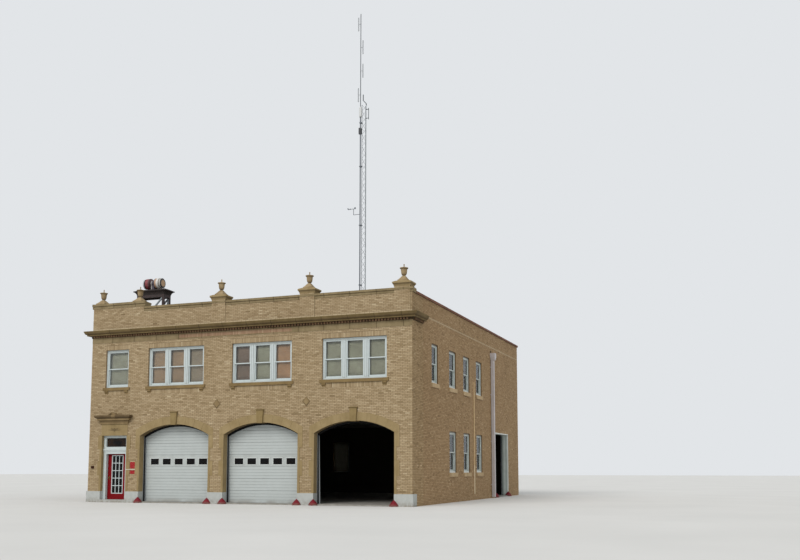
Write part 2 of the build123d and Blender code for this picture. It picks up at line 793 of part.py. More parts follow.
def urn(x, y, z, foot_w):
    """A square foot with concave sides under a turned bowl, lid and finial."""
    foot_z = z - coping_wash
    foot_h = urn_foot_h + coping_wash
    shoulder_w = foot_w * 0.45 + urn_neck_w * 0.55
    with BuildSketch(Plane.XY.offset(foot_z)) as block:
        with Locations((x, y)):
            Rectangle(foot_w, foot_w)
    extrude(block.sketch, amount=foot_h * 0.3)
    flared_block(x, y, [(foot_z + foot_h * 0.3, foot_w * 0.92, foot_w * 0.92),
                        (foot_z + foot_h * 0.62, shoulder_w, shoulder_w),
                        (z + urn_foot_h, urn_neck_w, urn_neck_w)])
    stem_z = z + urn_foot_h
    rim_z = stem_z + urn_body_h
    lid_z = rim_z + urn_lid_h * 0.45
    with BuildSketch(Plane.XZ.offset(-y)) as face:
        with BuildLine() as outline:
            Polyline((x, rim_z + urn_lid_h), (x, stem_z - 20), (x + urn_stem_r, stem_z - 20),
                     (x + urn_stem_r, stem_z + 15))
            Spline((x + urn_stem_r, stem_z + 15), (x + urn_body_r, rim_z - 75),
                   tangents=((1, 0.35), (0.12, 1)))
            Spline((x + urn_body_r, rim_z - 75), (x + urn_rim_r, rim_z - 32),
                   tangents=((0.12, 1), (1, 0.3)))
            Line((x + urn_rim_r, rim_z - 32), (x + urn_rim_r, rim_z))
            Spline((x + urn_rim_r, rim_z), (x + urn_finial_r * 0.6, lid_z), tangents=((-1, 0.35), (-0.3, 1)))
            Spline((x + urn_finial_r * 0.6, lid_z), (x + urn_finial_r, lid_z + 38), (x, rim_z + urn_lid_h),
                   tangents=((0.8, 0.6), (-1, 0)))
        make_face(outline.edges())
    revolve(face.sketch, axis=Axis((x, y, 0), (0, 0, 1)))


with BuildPart() as urns:
    for x, y, z, foot_w in urn_places:
        urn(x, y, z, foot_w)
    add(front_coping.part, mode=Mode.SUBTRACT)
    add(die_caps.part, mode=Mode.SUBTRACT)
save(urns, "urns")

# Entry hood: a moulding that returns at both ends, broken by a small gable
hood_half = entry_block_w / 2
hood_h = hood_top_z - entry_block_top_z
with BuildPart() as entry_hood:
    with BuildLine() as hood_path:
        Polyline((entry_x - hood_half, front, entry_block_top_z),
                 (entry_x - hood_half, front - stone_out, entry_block_top_z),
                 (entry_x + hood_half, front - stone_out, entry_block_top_z),
                 (entry_x + hood_half, front, entry_block_top_z))
    with BuildSketch(Plane(origin=(entry_x - hood_half, front, entry_block_top_z), x_dir=(-1, 0, 0),
                           z_dir=(0, 1, 0))):
        with BuildLine():
            Polyline((0, hood_h), (0, 0), (45, 0), (45, 45))
            Spline((45, 45), (hood_out * 0.5, hood_h * 0.42), tangents=((0.3, 1), (1, 0.2)))
            Polyline((hood_out * 0.5, hood_h * 0.42), (hood_out * 0.6, hood_h * 0.42),
                     (hood_out * 0.6, hood_h * 0.62))
            Spline((hood_out * 0.6, hood_h * 0.62), (hood_out, hood_h - 45), tangents=((1, 0.15), (0.2, 1)))
            Polyline((hood_out, hood_h - 45), (hood_out, hood_h - 15), (0, hood_h))
        make_face()
    sweep(path=hood_path.line, transition=Transition.RIGHT)
    slab(entry_x - hood_half, front - stone_out, entry_block_top_z, entry_x + hood_half, front, hood_top_z)
    with BuildSketch(front_plane):
        with BuildLine():
            Polyline((entry_x - gable_half, hood_top_z - 20), (entry_x + gable_half, hood_top_z - 20),
                     (entry_x + gable_half * 0.15, hood_top_z + gable_h),
                     (entry_x - gable_half * 0.15, hood_top_z + gable_h), close=True)
        make_face()
    extrude(amount=hood_out)
    with BuildSketch(front_plane.offset(hood_out)):
        with BuildLine():
            Polyline((entry_x - gable_half * 0.6, hood_top_z - 5),
                     (entry_x + gable_half * 0.6, hood_top_z - 5),
                     (entry_x, hood_top_z + gable_h * 0.7), close=True)
        make_face()
    extrude(amount=-gable_sink, mode=Mode.SUBTRACT)
save(entry_hood, "entry_hood")

# Entry step: the threshold block
with BuildPart() as entry_step:
    slab(entry_x - entry_half, front - step_out, 0, entry_x + entry_half, side_y0, step_z)
save(entry_step, "entry_step")

# Entry frame: posts, transom bar and head, with a stop that the door shuts against
frame_front = front + frame_recess
leaf_z0 = step_z + clearance
leaf_z1 = leaf_z0 + leaf_h
leaf_y0 = frame_front + stop_depth + clearance
leaf_y1 = leaf_y0 + leaf_t
frame_back = leaf_y1
with BuildPart() as entry_frame:
    slab(entry_x - entry_half, frame_front, step_z, entry_x + entry_half, frame_back, entry_head_z)
    slab(entry_x - leaf_w / 2 - clearance, leaf_y0 - clearance, step_z,
         entry_x + leaf_w / 2 + clearance, frame_back, leaf_z1 + clearance, mode=Mode.SUBTRACT)
    slab(entry_x - leaf_w / 2 + stop_lap, frame_front, step_z,
         entry_x + leaf_w / 2 - stop_lap, frame_back, leaf_z1 - stop_lap, mode=Mode.SUBTRACT)
    slab(entry_x - leaf_w / 2, frame_front, transom_z, entry_x + leaf_w / 2, frame_back,
         transom_top_z, mode=Mode.SUBTRACT)
    ledge_z = transom_z - ledge_drop
    bar(entry_x - entry_half, entry_x + entry_half,
        [(frame_front, ledge_z), (frame_front - ledge_out, ledge_z - ledge_t * 0.3),
         (frame_front - ledge_out, ledge_z - ledge_t), (frame_front, ledge_z - ledge_h)])
save(entry_frame, "entry_frame")

with BuildPart() as transom_glass:
    slab(entry_x - leaf_w / 2, frame_front + stop_depth / 2, transom_z, entry_x + leaf_w / 2,
         frame_front + stop_depth / 2 + glass_t, transom_top_z)
save(transom_glass, "transom_glass")

# Door leaf: stiles and rails round a white grid of small lights
panel_half = leaf_w / 2 - leaf_stile
panel_z0 = leaf_z0 + leaf_bottom_rail
panel_z1 = leaf_z1 - leaf_top_rail
lites_w = 2 * (panel_half - lite_border)
lites_h = panel_z1 - panel_z0 - 2 * lite_border
lite_w = (lites_w - (lite_columns - 1) * lite_bar) / lite_columns
lite_h = (lites_h - (lite_rows - 1) * lite_bar) / lite_rows
leaf_mid_y = (leaf_y0 + leaf_y1) / 2
panel_mid_z = (panel_z0 + panel_z1) / 2
with BuildPart() as entry_door:
    slab(entry_x - leaf_w / 2, leaf_y0, leaf_z0, entry_x + leaf_w / 2, leaf_y1, leaf_z1)
    slab(entry_x - panel_half, leaf_y0, panel_z0, entry_x + panel_half, leaf_y1, panel_z1,
         mode=Mode.SUBTRACT)
save(entry_door, "entry_door")

with BuildPart() as entry_door_lites:
    with BuildSketch(Plane.XZ.offset(-leaf_y0 + lite_out)):
        rect(entry_x - panel_half, panel_z0, entry_x + panel_half, panel_z1)
        with Locations((entry_x, panel_mid_z)):
            with GridLocations(lite_w + lite_bar, lite_h + lite_bar, lite_columns, lite_rows):
                Rectangle(lite_w, lite_h, mode=Mode.SUBTRACT)
    extrude(amount=-(leaf_t + 2 * lite_out))
    slab(entry_x - lites_w / 2 - glass_lap, leaf_mid_y - glass_t / 2, panel_mid_z - lites_h / 2 - glass_lap,
         entry_x + lites_w / 2 + glass_lap, leaf_mid_y + glass_t / 2, panel_mid_z + lites_h / 2 + glass_lap,
         mode=Mode.SUBTRACT)
save(entry_door_lites, "entry_door_lites")

with BuildPart() as entry_door_glass:
    slab(entry_x - lites_w / 2 - glass_lap, leaf_mid_y - glass_t / 2, panel_mid_z - lites_h / 2 - glass_lap,
         entry_x + lites_w / 2 + glass_lap, leaf_mid_y + glass_t / 2, panel_mid_z + lites_h / 2 + glass_lap)
save(entry_door_glass, "entry_door_glass")

# Door knob and plate on both faces
knob_x = entry_x - leaf_w / 2 + leaf_stile / 2
with BuildPart() as entry_door_knob:
    for face_y, way in ((leaf_y0, -1), (leaf_y1, 1)):
        with BuildSketch(Plane.XZ.offset(-face_y)):
            with Locations((knob_x, knob_z)):
                RectangleRounded(knob_plate_w, knob_plate_h, 8)
        extrude(amount=-way * knob_plate_t)
        with Locations((knob_x, face_y + way * knob_reach / 2, knob_z)):
            Cylinder(knob_r * 0.4, knob_reach, rotation=(90, 0, 0))
        with Locations((knob_x, face_y + way * knob_reach, knob_z)):
            Sphere(knob_r)
save(entry_door_knob, "entry_door_knob")

# Hinges: the pin and the outer knuckles are on the jamb, the middle knuckle is on the door
hinge_x = entry_x + leaf_w / 2 + clearance / 2
hinge_y = leaf_y1 + hinge_r + 0.5
hinge_zs = [leaf_z0 + hinge_inset, (leaf_z0 + leaf_z1) / 2, leaf_z1 - hinge_inset]
knuckle = hinge_h / 3
knuckle_h = knuckle - knuckle_gap
with BuildPart() as frame_hinges:
    for z in hinge_zs:
        with Locations((hinge_x, hinge_y, z)):
            Cylinder(pin_r, hinge_h)
        for way in (-1, 1):
            middle_z = z + way * knuckle
            with Locations((hinge_x, hinge_y, middle_z)):
                Cylinder(hinge_r, knuckle_h)
            slab(hinge_x, frame_back, middle_z - knuckle_h / 2, hinge_x + hinge_plate_w,
                 frame_back + hinge_plate_t, middle_z + knuckle_h / 2)
save(frame_hinges, "frame_hinges")

with BuildPart() as door_hinges:
    for z in hinge_zs:
        with Locations((hinge_x, hinge_y, z)):
            Cylinder(hinge_r, knuckle_h)
        slab(hinge_x - hinge_plate_w, leaf_y1, z - knuckle_h / 2, hinge_x, leaf_y1 + hinge_plate_t,
             z + knuckle_h / 2)
        with Locations((hinge_x, hinge_y, z)):
            Cylinder(pin_r + pin_gap, knuckle, mode=Mode.SUBTRACT)
save(door_hinges, "door_hinges")


def light_spans(u, w, lights):
    """The left and right edges of each light between the posts of its frame."""
    light_w = (w - 2 * window_frame - (lights - 1) * triple_mullion) / lights
    starts = [u - w / 2 + window_frame + i * (light_w + triple_mullion) for i in range(lights)]
    return [(start, start + light_w) for start in starts]


def sash_spans(layer, sill, head):
    """The foot, the top and the bottom rail of a sash: the upper one in layer 0, the lower in 1."""
    low = sill + window_board
    high = head - window_frame
    middle = (low + high) / 2
    if layer:
        return low, middle + sash_rail / 2, sash_bottom_rail
    return middle - sash_rail / 2, high, sash_rail


def sash_windows(plane, inward, recess, windows):
    """Box frames with double-hung sashes, each sash a ring of stiles and rails."""
    with BuildSketch(plane.offset(inward * recess)) as face:
        for u, w, sill, head, lights in windows:
            rect(u - w / 2, sill, u + w / 2, head)
            for u0, u1 in light_spans(u, w, lights):
                rect(u0, sill + window_board, u1, head - window_frame, mode=Mode.SUBTRACT)
    extrude(face.sketch, amount=inward * window_depth)
    for layer in (0, 1):
        with BuildSketch(plane.offset(inward * (recess + sash_inset + layer * sash_t))) as face:
            for u, w, sill, head, lights in windows:
                v0, v1, bottom = sash_spans(layer, sill, head)
                for u0, u1 in light_spans(u, w, lights):
                    rect(u0, v0, u1, v1)
                    rect(u0 + sash_rail, v0 + bottom, u1 - sash_rail, v1 - sash_rail, mode=Mode.SUBTRACT)
        extrude(face.sketch, amount=inward * sash_t)


def window_panes(plane, inward, recess, windows):
    """The panes of sash windows, one for each sash."""
    for layer in (0, 1):
        depth = recess + sash_inset + (layer + 0.5) * sash_t - pane_t / 2
        with BuildSketch(plane.offset(inward * depth)) as face:
            for u, w, sill, head, lights in windows:
                v0, v1, bottom = sash_spans(layer, sill, head)
                for u0, u1 in light_spans(u, w, lights):
                    rect(u0 + sash_rail, v0 + bottom, u1 - sash_rail, v1 - sash_rail)
        extrude(face.sketch, amount=inward * pane_t)


front_sashes = [(x, w, window_sill_z, window_head_z, lights) for x, w, lights in front_windows]
with BuildPart() as front_window_frames:
    sash_windows(front_plane, -1, window_recess, front_sashes)
save(front_window_frames, "front_window_frames")

with BuildPart() as front_window_glass:
    window_panes(front_plane, -1, window_recess, front_sashes)
save(front_window_glass, "front_window_glass")

plain_walls = [(right_plane, -1, right_windows), (left_plane, 1, left_windows),
               (rear_plane, 1, rear_windows)]
with BuildPart() as side_window_frames:
    for plane, inward, windows in plain_walls:
        sash_windows(plane, inward, side_window_recess, [(*window, 1) for window in windows])
save(side_window_frames, "side_window_frames")

with BuildPart() as side_window_glass:
    for plane, inward, windows in plain_walls:
        window_panes(plane, inward, side_window_recess, [(*window, 1) for window in windows])
save(side_window_glass, "side_window_glass")

# Sectional doors: shut in the first two bays, raised on level tracks in the third and at the side
door_y0 = side_y0 + door_gap
door_y1 = door_y0 + door_section_t
door_w = bay_span + 2 * door_lap
side_door_w = side_bay_w + 2 * door_lap
light_xs = [(i - (door_lights - 1) / 2) * door_light_pitch for i in range(door_lights)]
light_section_z = floor_z + door_light_section * door_section_h
for number, bay_x in enumerate(bays[:2], 1):
    with BuildPart() as bay_door:
        for i in range(door_sections):
            z0 = floor_z + i * door_section_h
            slab(bay_x - door_w / 2, door_y0, z0, bay_x + door_w / 2, door_y1,
                 z0 + door_section_h - door_joint)
        for light_x in light_xs:
            slab(bay_x + light_x - door_light_w / 2, door_y0, door_light_z - door_light_h / 2,
                 bay_x + light_x + door_light_w / 2, door_y1, door_light_z + door_light_h / 2,
                 mode=Mode.SUBTRACT)
    save(bay_door, f"bay_door_{number}")

raised_y0 = side_y0 + raised_door_start
raised_x1 = inner_right - raised_door_start
light_rise = door_light_z - light_section_z
raised_light_y = raised_y0 + (door_sections - 1 - door_light_section) * door_section_h + light_rise
with BuildPart() as bay_door_3:
    for i in range(door_sections):
        y0 = raised_y0 + i * door_section_h
        slab(bays[2] - door_w / 2, y0, raised_door_z, bays[2] + door_w / 2,
             y0 + door_section_h - door_joint, raised_door_z + door_section_t)
    for light_x in light_xs:
        slab(bays[2] + light_x - door_light_w / 2, raised_light_y - door_light_h / 2, raised_door_z,
             bays[2] + light_x + door_light_w / 2, raised_light_y + door_light_h / 2,
             raised_door_z + door_section_t, mode=Mode.SUBTRACT)
save(bay_door_3, "bay_door_3")

with BuildPart() as side_bay_door:
    for i in range(door_sections):
        x1 = raised_x1 - i * door_section_h
        slab(x1 - door_section_h + door_joint, side_bay_y - side_door_w / 2, raised_door_z, x1,
             side_bay_y + side_door_w / 2, raised_door_z + door_section_t)
save(side_bay_door, "side_bay_door")

with BuildPart() as bay_door_glass:
    for light_x in light_xs:
        for bay_x in bays[:2]:
            slab(bay_x + light_x - door_light_w / 2, door_y0 + door_pane_inset,
                 door_light_z - door_light_h / 2, bay_x + light_x + door_light_w / 2,
                 door_y0 + door_pane_inset + glass_t, door_light_z + door_light_h / 2)
        slab(bays[2] + light_x - door_light_w / 2, raised_light_y - door_light_h / 2,
             raised_door_z + door_pane_inset, bays[2] + light_x + door_light_w / 2,
             raised_light_y + door_light_h / 2, raised_door_z + door_pane_inset + glass_t)
save(bay_door_glass, "bay_door_glass")

# Door tracks: upright channels at the jambs and level ones under the ceiling, on hangers
track_foot = 2 * door_gap + door_section_t
track_top_z = raised_door_z + track_w
track_end_y = raised_y0 + door_sections * door_section_h
track_end_x = raised_x1 - door_sections * door_section_h
with BuildPart() as door_tracks:
    for bay_x in bays:
        for way in (-1, 1):
            x = bay_x + way * (door_w / 2 + track_w / 2 + seat)
            slab(x - track_w / 2, side_y0, floor_z, x + track_w / 2, side_y0 + track_foot, track_top_z)
            slab(x - track_w / 2, side_y0, raised_door_z, x + track_w / 2, track_end_y, track_top_z)
            slab(x - track_w / 2, track_end_y - track_w, raised_door_z, x + track_w / 2, track_end_y,
                 storey_z)
    for way in (-1, 1):
        y = side_bay_y + way * (side_door_w / 2 + track_w / 2 + seat)
        slab(inner_right - track_foot, y - track_w / 2, floor_z, inner_right, y + track_w / 2, track_top_z)
        slab(track_end_x, y - track_w / 2, raised_door_z, inner_right, y + track_w / 2, track_top_z)
        slab(track_end_x, y - track_w / 2, raised_door_z, track_end_x + track_w, y + track_w / 2, storey_z)
save(door_tracks, "door_tracks")

# Guard domes at the foot of every vehicle opening
dome_places = [(bay_x + way * bay_half, front - plinth_out) for bay_x in bays for way in (-1, 1)]
dome_places += [(right, side_bay_y0), (right, side_bay_y1)]
with BuildPart() as guard_domes:
    for x, y in dome_places:
        with BuildSketch(Plane.XZ.offset(-y)):
            with BuildLine():
                Polyline((x, dome_h), (x, 0), (x + dome_r, 0), (x + dome_r, dome_foot))
                ThreePointArc((x + dome_r, dome_foot), (x + dome_r * 0.58, (dome_foot + dome_h) / 2),
                              (x, dome_h))
            make_face()
        revolve(axis=Axis((x, y, 0), (0, 0, 1)))
    add(plinth.part, mode=Mode.SUBTRACT)
    add(right_lower_wall.part, mode=Mode.SUBTRACT)
    add(ground_slab.part, mode=Mode.SUBTRACT)
save(guard_domes, "guard_domes")

# Downspout with an open leader head and straps, and a conduit, on the right wall
pipe_x0 = right + pipe_gap
pipe_x1 = pipe_x0 + downspout_d
leader_x1 = pipe_x1 + leader_lap
leader_half = downspout_w / 2 + leader_lap
leader_top_z = leader_z + leader_h
with BuildPart() as downspout:
    slab(pipe_x0, downspout_y - downspout_w / 2, floor_z, pipe_x1, downspout_y + downspout_w / 2, leader_z)
    bar_z = leader_z + leader_h * 0.4
    flared_block((right + leader_x1) / 2, downspout_y,
                 [(leader_z, downspout_d + 2 * pipe_gap, downspout_w + 2 * pipe_gap),
                  (bar_z, leader_x1 - right, 2 * leader_half)])
    slab(right, downspout_y - leader_half, bar_z, leader_x1, downspout_y + leader_half, leader_top_z)
    slab(right + leader_t, downspout_y - leader_half + leader_t, bar_z, leader_x1 - leader_t,
         downspout_y + leader_half - leader_t, leader_top_z, mode=Mode.SUBTRACT)
    for z in strap_zs:
        slab(right, downspout_y - leader_half, z, pipe_x0, downspout_y + leader_half, z + strap_h)
save(downspout, "downspout")

with BuildPart() as conduit:
    with Locations((right + conduit_r, conduit_y, (conduit_foot_z + conduit_top_z) / 2)):
        Cylinder(conduit_r, conduit_top_z - conduit_foot_z)
save(conduit, "conduit")

# Siren stand: a low hipped deck with coved eaves, on four legs with crossed braces
stand_beam_z = stand_eave_z - stand_cove_h - stand_beam_h
deck_z = stand_eave_z + stand_eave_t + stand_hip_h
leg_dx = stand_w / 2 - stand_cove_in - stand_leg / 2
leg_dy = stand_d / 2 - stand_cove_in * 0.6 - stand_leg / 2
with BuildPart() as siren_platform:
    slab(siren_x - stand_w / 2, siren_y - stand_d / 2, stand_eave_z, siren_x + stand_w / 2,
         siren_y + stand_d / 2, stand_eave_z + stand_eave_t)
    flared_block(siren_x, siren_y, [(stand_eave_z + stand_eave_t, stand_w, stand_d),
                                    (deck_z, stand_w - 2 * stand_hip_in, stand_d - 2 * stand_hip_in)])
    flared_block(siren_x, siren_y, [
        (stand_eave_z - stand_cove_h, stand_w - 2 * stand_cove_in, stand_d - 1.2 * stand_cove_in),
        (stand_eave_z - stand_cove_h * 0.45, stand_w - 1.5 * stand_cove_in, stand_d - 0.9 * stand_cove_in),
        (stand_eave_z, stand_w - 40, stand_d - 40)])
save(siren_platform, "siren_platform")

with BuildPart() as siren_stand:
    with BuildSketch(Plane.XY.offset(stand_beam_z)):
        with Locations((siren_x, siren_y)):
            Rectangle(2 * leg_dx + stand_leg, 2 * leg_dy + stand_leg)
            Rectangle(2 * leg_dx - stand_leg, 2 * leg_dy - stand_leg, mode=Mode.SUBTRACT)
    extrude(amount=stand_beam_h)
    with Locations((siren_x, siren_y, (roof_z + stand_beam_z) / 2)):
        with GridLocations(2 * leg_dx, 2 * leg_dy, 2, 2):
            Box(stand_leg, stand_leg, stand_beam_z - roof_z)
    with Locations((siren_x, siren_y, roof_z + stand_foot_t / 2)):
        with GridLocations(2 * leg_dx, 2 * leg_dy, 2, 2):
            Box(stand_foot_w, stand_foot_w, stand_foot_t)
    rail_z = stand_beam_z - stand_brace_h
    for side in (-1, 1):
        slab(siren_x - leg_dx, siren_y + side * leg_dy - stand_brace / 2, rail_z, siren_x + leg_dx,
             siren_y + side * leg_dy + stand_brace / 2, rail_z + stand_brace)
        slab(siren_x + side * leg_dx - stand_brace / 2, siren_y - leg_dy, rail_z,
             siren_x + side * leg_dx + stand_brace / 2, siren_y + leg_dy, rail_z + stand_brace)
        with BuildSketch(Plane.XZ.offset(-(siren_y + side * leg_dy))):
            for way in (-1, 1):
                with BuildLine():
                    Polyline((siren_x - way * leg_dx, rail_z + stand_brace / 2),
                             (siren_x + way * leg_dx, stand_beam_z + stand_brace / 2))
                trace(line_width=stand_brace)
        extrude(amount=stand_brace / 2, both=True)
        with BuildSketch(Plane.YZ.offset(siren_x + side * leg_dx)):
            with BuildLine():
                Polyline((siren_y - side * leg_dy, rail_z + stand_brace / 2),
                         (siren_y + side * leg_dy, stand_beam_z + stand_brace / 2))
            trace(line_width=stand_brace)
        extrude(amount=stand_brace / 2, both=True)
save(siren_stand, "siren_stand")

# Siren: a motor between two drums, each with an end disc beyond a gap, on a saddle
disc_x = siren_length / 2
drum_x = disc_x - siren_disc_t - siren_gap
half_profile = [(disc_x, 0), (disc_x, siren_r * 0.8), (disc_x - 25, siren_r * 0.94),
                (disc_x - siren_disc_t, siren_r * 0.94), (disc_x - siren_disc_t, siren_core_r),
                (drum_x, siren_core_r), (drum_x, siren_r), (siren_motor_w / 2 + 45, siren_r),
                (siren_motor_w / 2, siren_core_r * 1.25)]
profile = [(siren_x - dx, siren_axis_z + dz) for dx, dz in half_profile]
profile += [(siren_x + dx, siren_axis_z + dz) for dx, dz in reversed(half_profile)]
with BuildPart() as siren:
    with BuildSketch(Plane.XZ.offset(-siren_y)):
        with BuildLine():
            Polyline(*profile, close=True)
        make_face()
    revolve(axis=Axis((siren_x, siren_y, siren_axis_z), (1, 0, 0)))
    slab(siren_x - siren_motor_w / 2, siren_y - siren_core_r, deck_z,
         siren_x + siren_motor_w / 2, siren_y + siren_core_r, siren_axis_z - siren_core_r / 2)
save(siren, "siren")

# Mast: three legs and zigzag bracing on each face, in three lengths
mast_y = rear + mast_gap
leg_ring = mast_face / sqrt(3)
mast_parts = 3
bays_per_part = int((mast_top_z - mast_plate_t) / mast_bay_h / mast_parts)
part_h = (mast_top_z - mast_plate_t) / mast_parts
rung_h = part_h / bays_per_part
face_offset = leg_ring / 2
mast_built = []
for number in range(mast_parts):
    z0 = mast_plate_t + number * part_h
    with BuildPart() as mast_part:
        with BuildSketch(Plane.XY.offset(z0)):
            with Locations((mast_x, mast_y)):
                with PolarLocations(leg_ring, 3, start_angle=90):
                    RegularPolygon(mast_leg_r, 6)
        extrude(amount=part_h)
        for turn in range(3):
            angle = 30 + 120 * turn
            middle = Vector(mast_x + face_offset * cos(radians(angle)),
                            mast_y + face_offset * sin(radians(angle)), z0)
            face_plane = Plane(origin=middle, x_dir=(-sin(radians(angle)), cos(radians(angle)), 0),
                               z_dir=(cos(radians(angle)), sin(radians(angle)), 0))
            with BuildSketch(face_plane):
                with BuildLine():
                    points = [((-1) ** i * mast_face / 2, i * rung_h) for i in range(bays_per_part + 1)]
                    points[0] = (points[0][0], mast_brace_w)
                    points[-1] = (points[-1][0], part_h - mast_brace_w)
                    Polyline(*points)
                trace(line_width=mast_brace_w)
            extrude(amount=mast_brace_w / 2, both=True)
    save(mast_part, f"mast_section_{number + 1}")
    mast_built.append(mast_part)

# Foot plate and wall brackets
leg_y = mast_y - leg_ring / 2
left_leg_x = mast_x - mast_face / 2
right_leg_x = mast_x + mast_face / 2
with BuildPart() as mast_fixings:
    slab(mast_x - mast_plate / 2, mast_y - mast_plate / 2, 0, mast_x + mast_plate / 2,
         mast_y + mast_plate / 2, mast_plate_t)
    for z in bracket_zs:
        for leg_x in (left_leg_x, right_leg_x):
            slab(leg_x - bracket_w / 2, rear, z - bracket_w / 2, leg_x + bracket_w / 2, leg_y,
                 z + bracket_w / 2)
        slab(left_leg_x - bracket_plate_lap, rear, z - bracket_plate_lap,
             right_leg_x + bracket_plate_lap, rear + bracket_plate_t, z + bracket_plate_lap)
    for mast_part in mast_built:
        add(mast_part.part, mode=Mode.SUBTRACT)
save(mast_fixings, "mast_fixings")

# Pole: clamped beside the left leg, with a wind gauge on an arm, a junction box and a radome
pole_x = left_leg_x - pole_from_leg_x
pole_y = leg_y - pole_from_leg_y
gauge_x = pole_x - gauge_reach
gauge_top_z = gauge_z + gauge_post_h
gauge_y0 = pole_y - gauge_arm / 2
gauge_y1 = pole_y + gauge_arm / 2
with BuildPart() as mast_pole:
    with Locations((pole_x, pole_y, (mast_plate_t + pole_top_z) / 2)):
        Cylinder(pole_r, pole_top_z - mast_plate_t)
    for z in clamp_zs:
        slab(pole_x - pole_r - clamp_lap, pole_y - pole_r - clamp_lap, z,
             left_leg_x + mast_leg_r + clamp_lap, leg_y + mast_leg_r + clamp_lap, z + clamp_h)
    with Locations((pole_x - pole_box_w * 0.15, pole_y, pole_box_z + pole_box_h / 2)):
        Box(pole_box_w, pole_box_w, pole_box_h)
    with BuildSketch(Plane.XZ.offset(-pole_y)):
        with BuildLine():
            Polyline((pole_x, pole_top_z + radome_h), (pole_x, pole_top_z), (pole_x + radome_r, pole_top_z),
                     (pole_x + radome_r, pole_top_z + radome_h * 0.8))
            Spline((pole_x + radome_r, pole_top_z + radome_h * 0.8), (pole_x, pole_top_z + radome_h),
                   tangents=((0, 1), (-1, 0.1)))
        make_face()
    revolve(axis=Axis((pole_x, pole_y, 0), (0, 0, 1)))
    slab(gauge_x, gauge_y0, gauge_z, pole_x, gauge_y1, gauge_z + gauge_arm)
    slab(gauge_x, gauge_y0, gauge_z, gauge_x + gauge_arm, gauge_y1, gauge_top_z)
    slab(gauge_x - gauge_bar_left, gauge_y0, gauge_top_z - gauge_arm, gauge_x + gauge_bar_right, gauge_y1,
         gauge_top_z)
    slab(gauge_x + gauge_bar_right - gauge_vane_w, pole_y - gauge_vane_t / 2, gauge_top_z - gauge_arm,
         gauge_x + gauge_bar_right, pole_y + gauge_vane_t / 2, gauge_top_z + gauge_vane_h)
    with Locations((gauge_x - gauge_bar_left, pole_y, gauge_top_z)):
        Cylinder(gauge_arm, 2 * gauge_arm)
        with PolarLocations(gauge_cup_reach / 2, 3):
            Box(gauge_cup_reach, gauge_arm / 2, gauge_arm / 2)
        with PolarLocations(gauge_cup_reach, 3):
            Cone(gauge_cup_r, gauge_cup_r * 0.3, gauge_cup_r, rotation=(90, 0, 0))
    for mast_part in mast_built:
        add(mast_part.part, mode=Mode.SUBTRACT)
save(mast_pole, "mast_pole")

# Antenna: a whip with four folded dipoles on the radome
whip_foot_z = pole_top_z + radome_h * 0.5
whip_top_z = pole_top_z + radome_h + whip_h
with BuildPart() as whip_antenna:
    with Locations((pole_x, pole_y, (whip_foot_z + whip_top_z) / 2)):
        Cylinder(whip_r, whip_top_z - whip_foot_z)
    for i, side in enumerate(dipole_sides):
        z = pole_top_z + radome_h + dipole_first + i * dipole_pitch
        near_x = pole_x + side * dipole_reach
        far_x = near_x + side * dipole_gap
        slab(pole_x, pole_y - dipole_rod / 2, z - dipole_rod / 2, near_x, pole_y + dipole_rod / 2,
             z + dipole_rod / 2)
        slab(near_x, pole_y - dipole_rod / 2, z - dipole_h / 2, far_x, pole_y + dipole_rod / 2,
             z + dipole_h / 2)
        slab(near_x + side * dipole_rod, pole_y - dipole_rod, z - dipole_h / 2 + dipole_rod,
             far_x - side * dipole_rod, pole_y + dipole_rod, z + dipole_h / 2 - dipole_rod,
             mode=Mode.SUBTRACT)
    add(mast_pole.part, mode=Mode.SUBTRACT)
save(whip_antenna, "whip_antenna")

# Mast head: a dipole on two arms beside the right leg, and a cranked stub on top of the leg
panel_x = right_leg_x + panel_reach
arm_half = mast_leg_r + clamp_lap / 2
with BuildPart() as mast_head:
    slab(panel_x - dipole_rod, leg_y - dipole_rod, panel_foot_z, panel_x + dipole_rod, leg_y + dipole_rod,
         panel_foot_z + panel_h)
    for z in (panel_foot_z + panel_arm_in, panel_foot_z + panel_h - panel_arm_in):
        slab(right_leg_x - arm_half, leg_y - arm_half, z - dipole_rod, right_leg_x + arm_half,
             leg_y + arm_half, z + dipole_rod)
        slab(right_leg_x + mast_leg_r, leg_y - dipole_rod, z - dipole_rod, panel_x, leg_y + dipole_rod,
             z + dipole_rod)
    with BuildSketch(Plane.XZ.offset(-leg_y)):
        with BuildLine():
            Polyline((right_leg_x, mast_top_z - stub_lap), (right_leg_x, mast_top_z + stub_w),
                     (right_leg_x - stub_reach, stub_foot_z), (right_leg_x - stub_reach, stub_top_z))
        trace(line_width=stub_w)
    extrude(amount=stub_w / 2, both=True)
    for mast_part in mast_built:
        add(mast_part.part, mode=Mode.SUBTRACT)
save(mast_head, "mast_head")
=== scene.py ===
import math
import random

import bpy
from mathutils import Euler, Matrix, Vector


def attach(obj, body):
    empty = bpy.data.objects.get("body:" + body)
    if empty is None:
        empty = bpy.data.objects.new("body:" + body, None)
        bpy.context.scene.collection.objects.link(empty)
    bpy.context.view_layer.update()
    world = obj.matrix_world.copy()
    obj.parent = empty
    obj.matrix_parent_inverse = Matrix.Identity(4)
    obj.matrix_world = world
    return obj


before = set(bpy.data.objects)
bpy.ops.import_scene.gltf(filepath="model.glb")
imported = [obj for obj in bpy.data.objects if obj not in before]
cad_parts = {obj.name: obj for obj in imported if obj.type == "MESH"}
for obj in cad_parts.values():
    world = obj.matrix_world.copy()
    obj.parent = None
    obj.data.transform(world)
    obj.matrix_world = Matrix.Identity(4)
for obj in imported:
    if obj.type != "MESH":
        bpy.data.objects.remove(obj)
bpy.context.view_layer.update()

rng = random.Random(7)

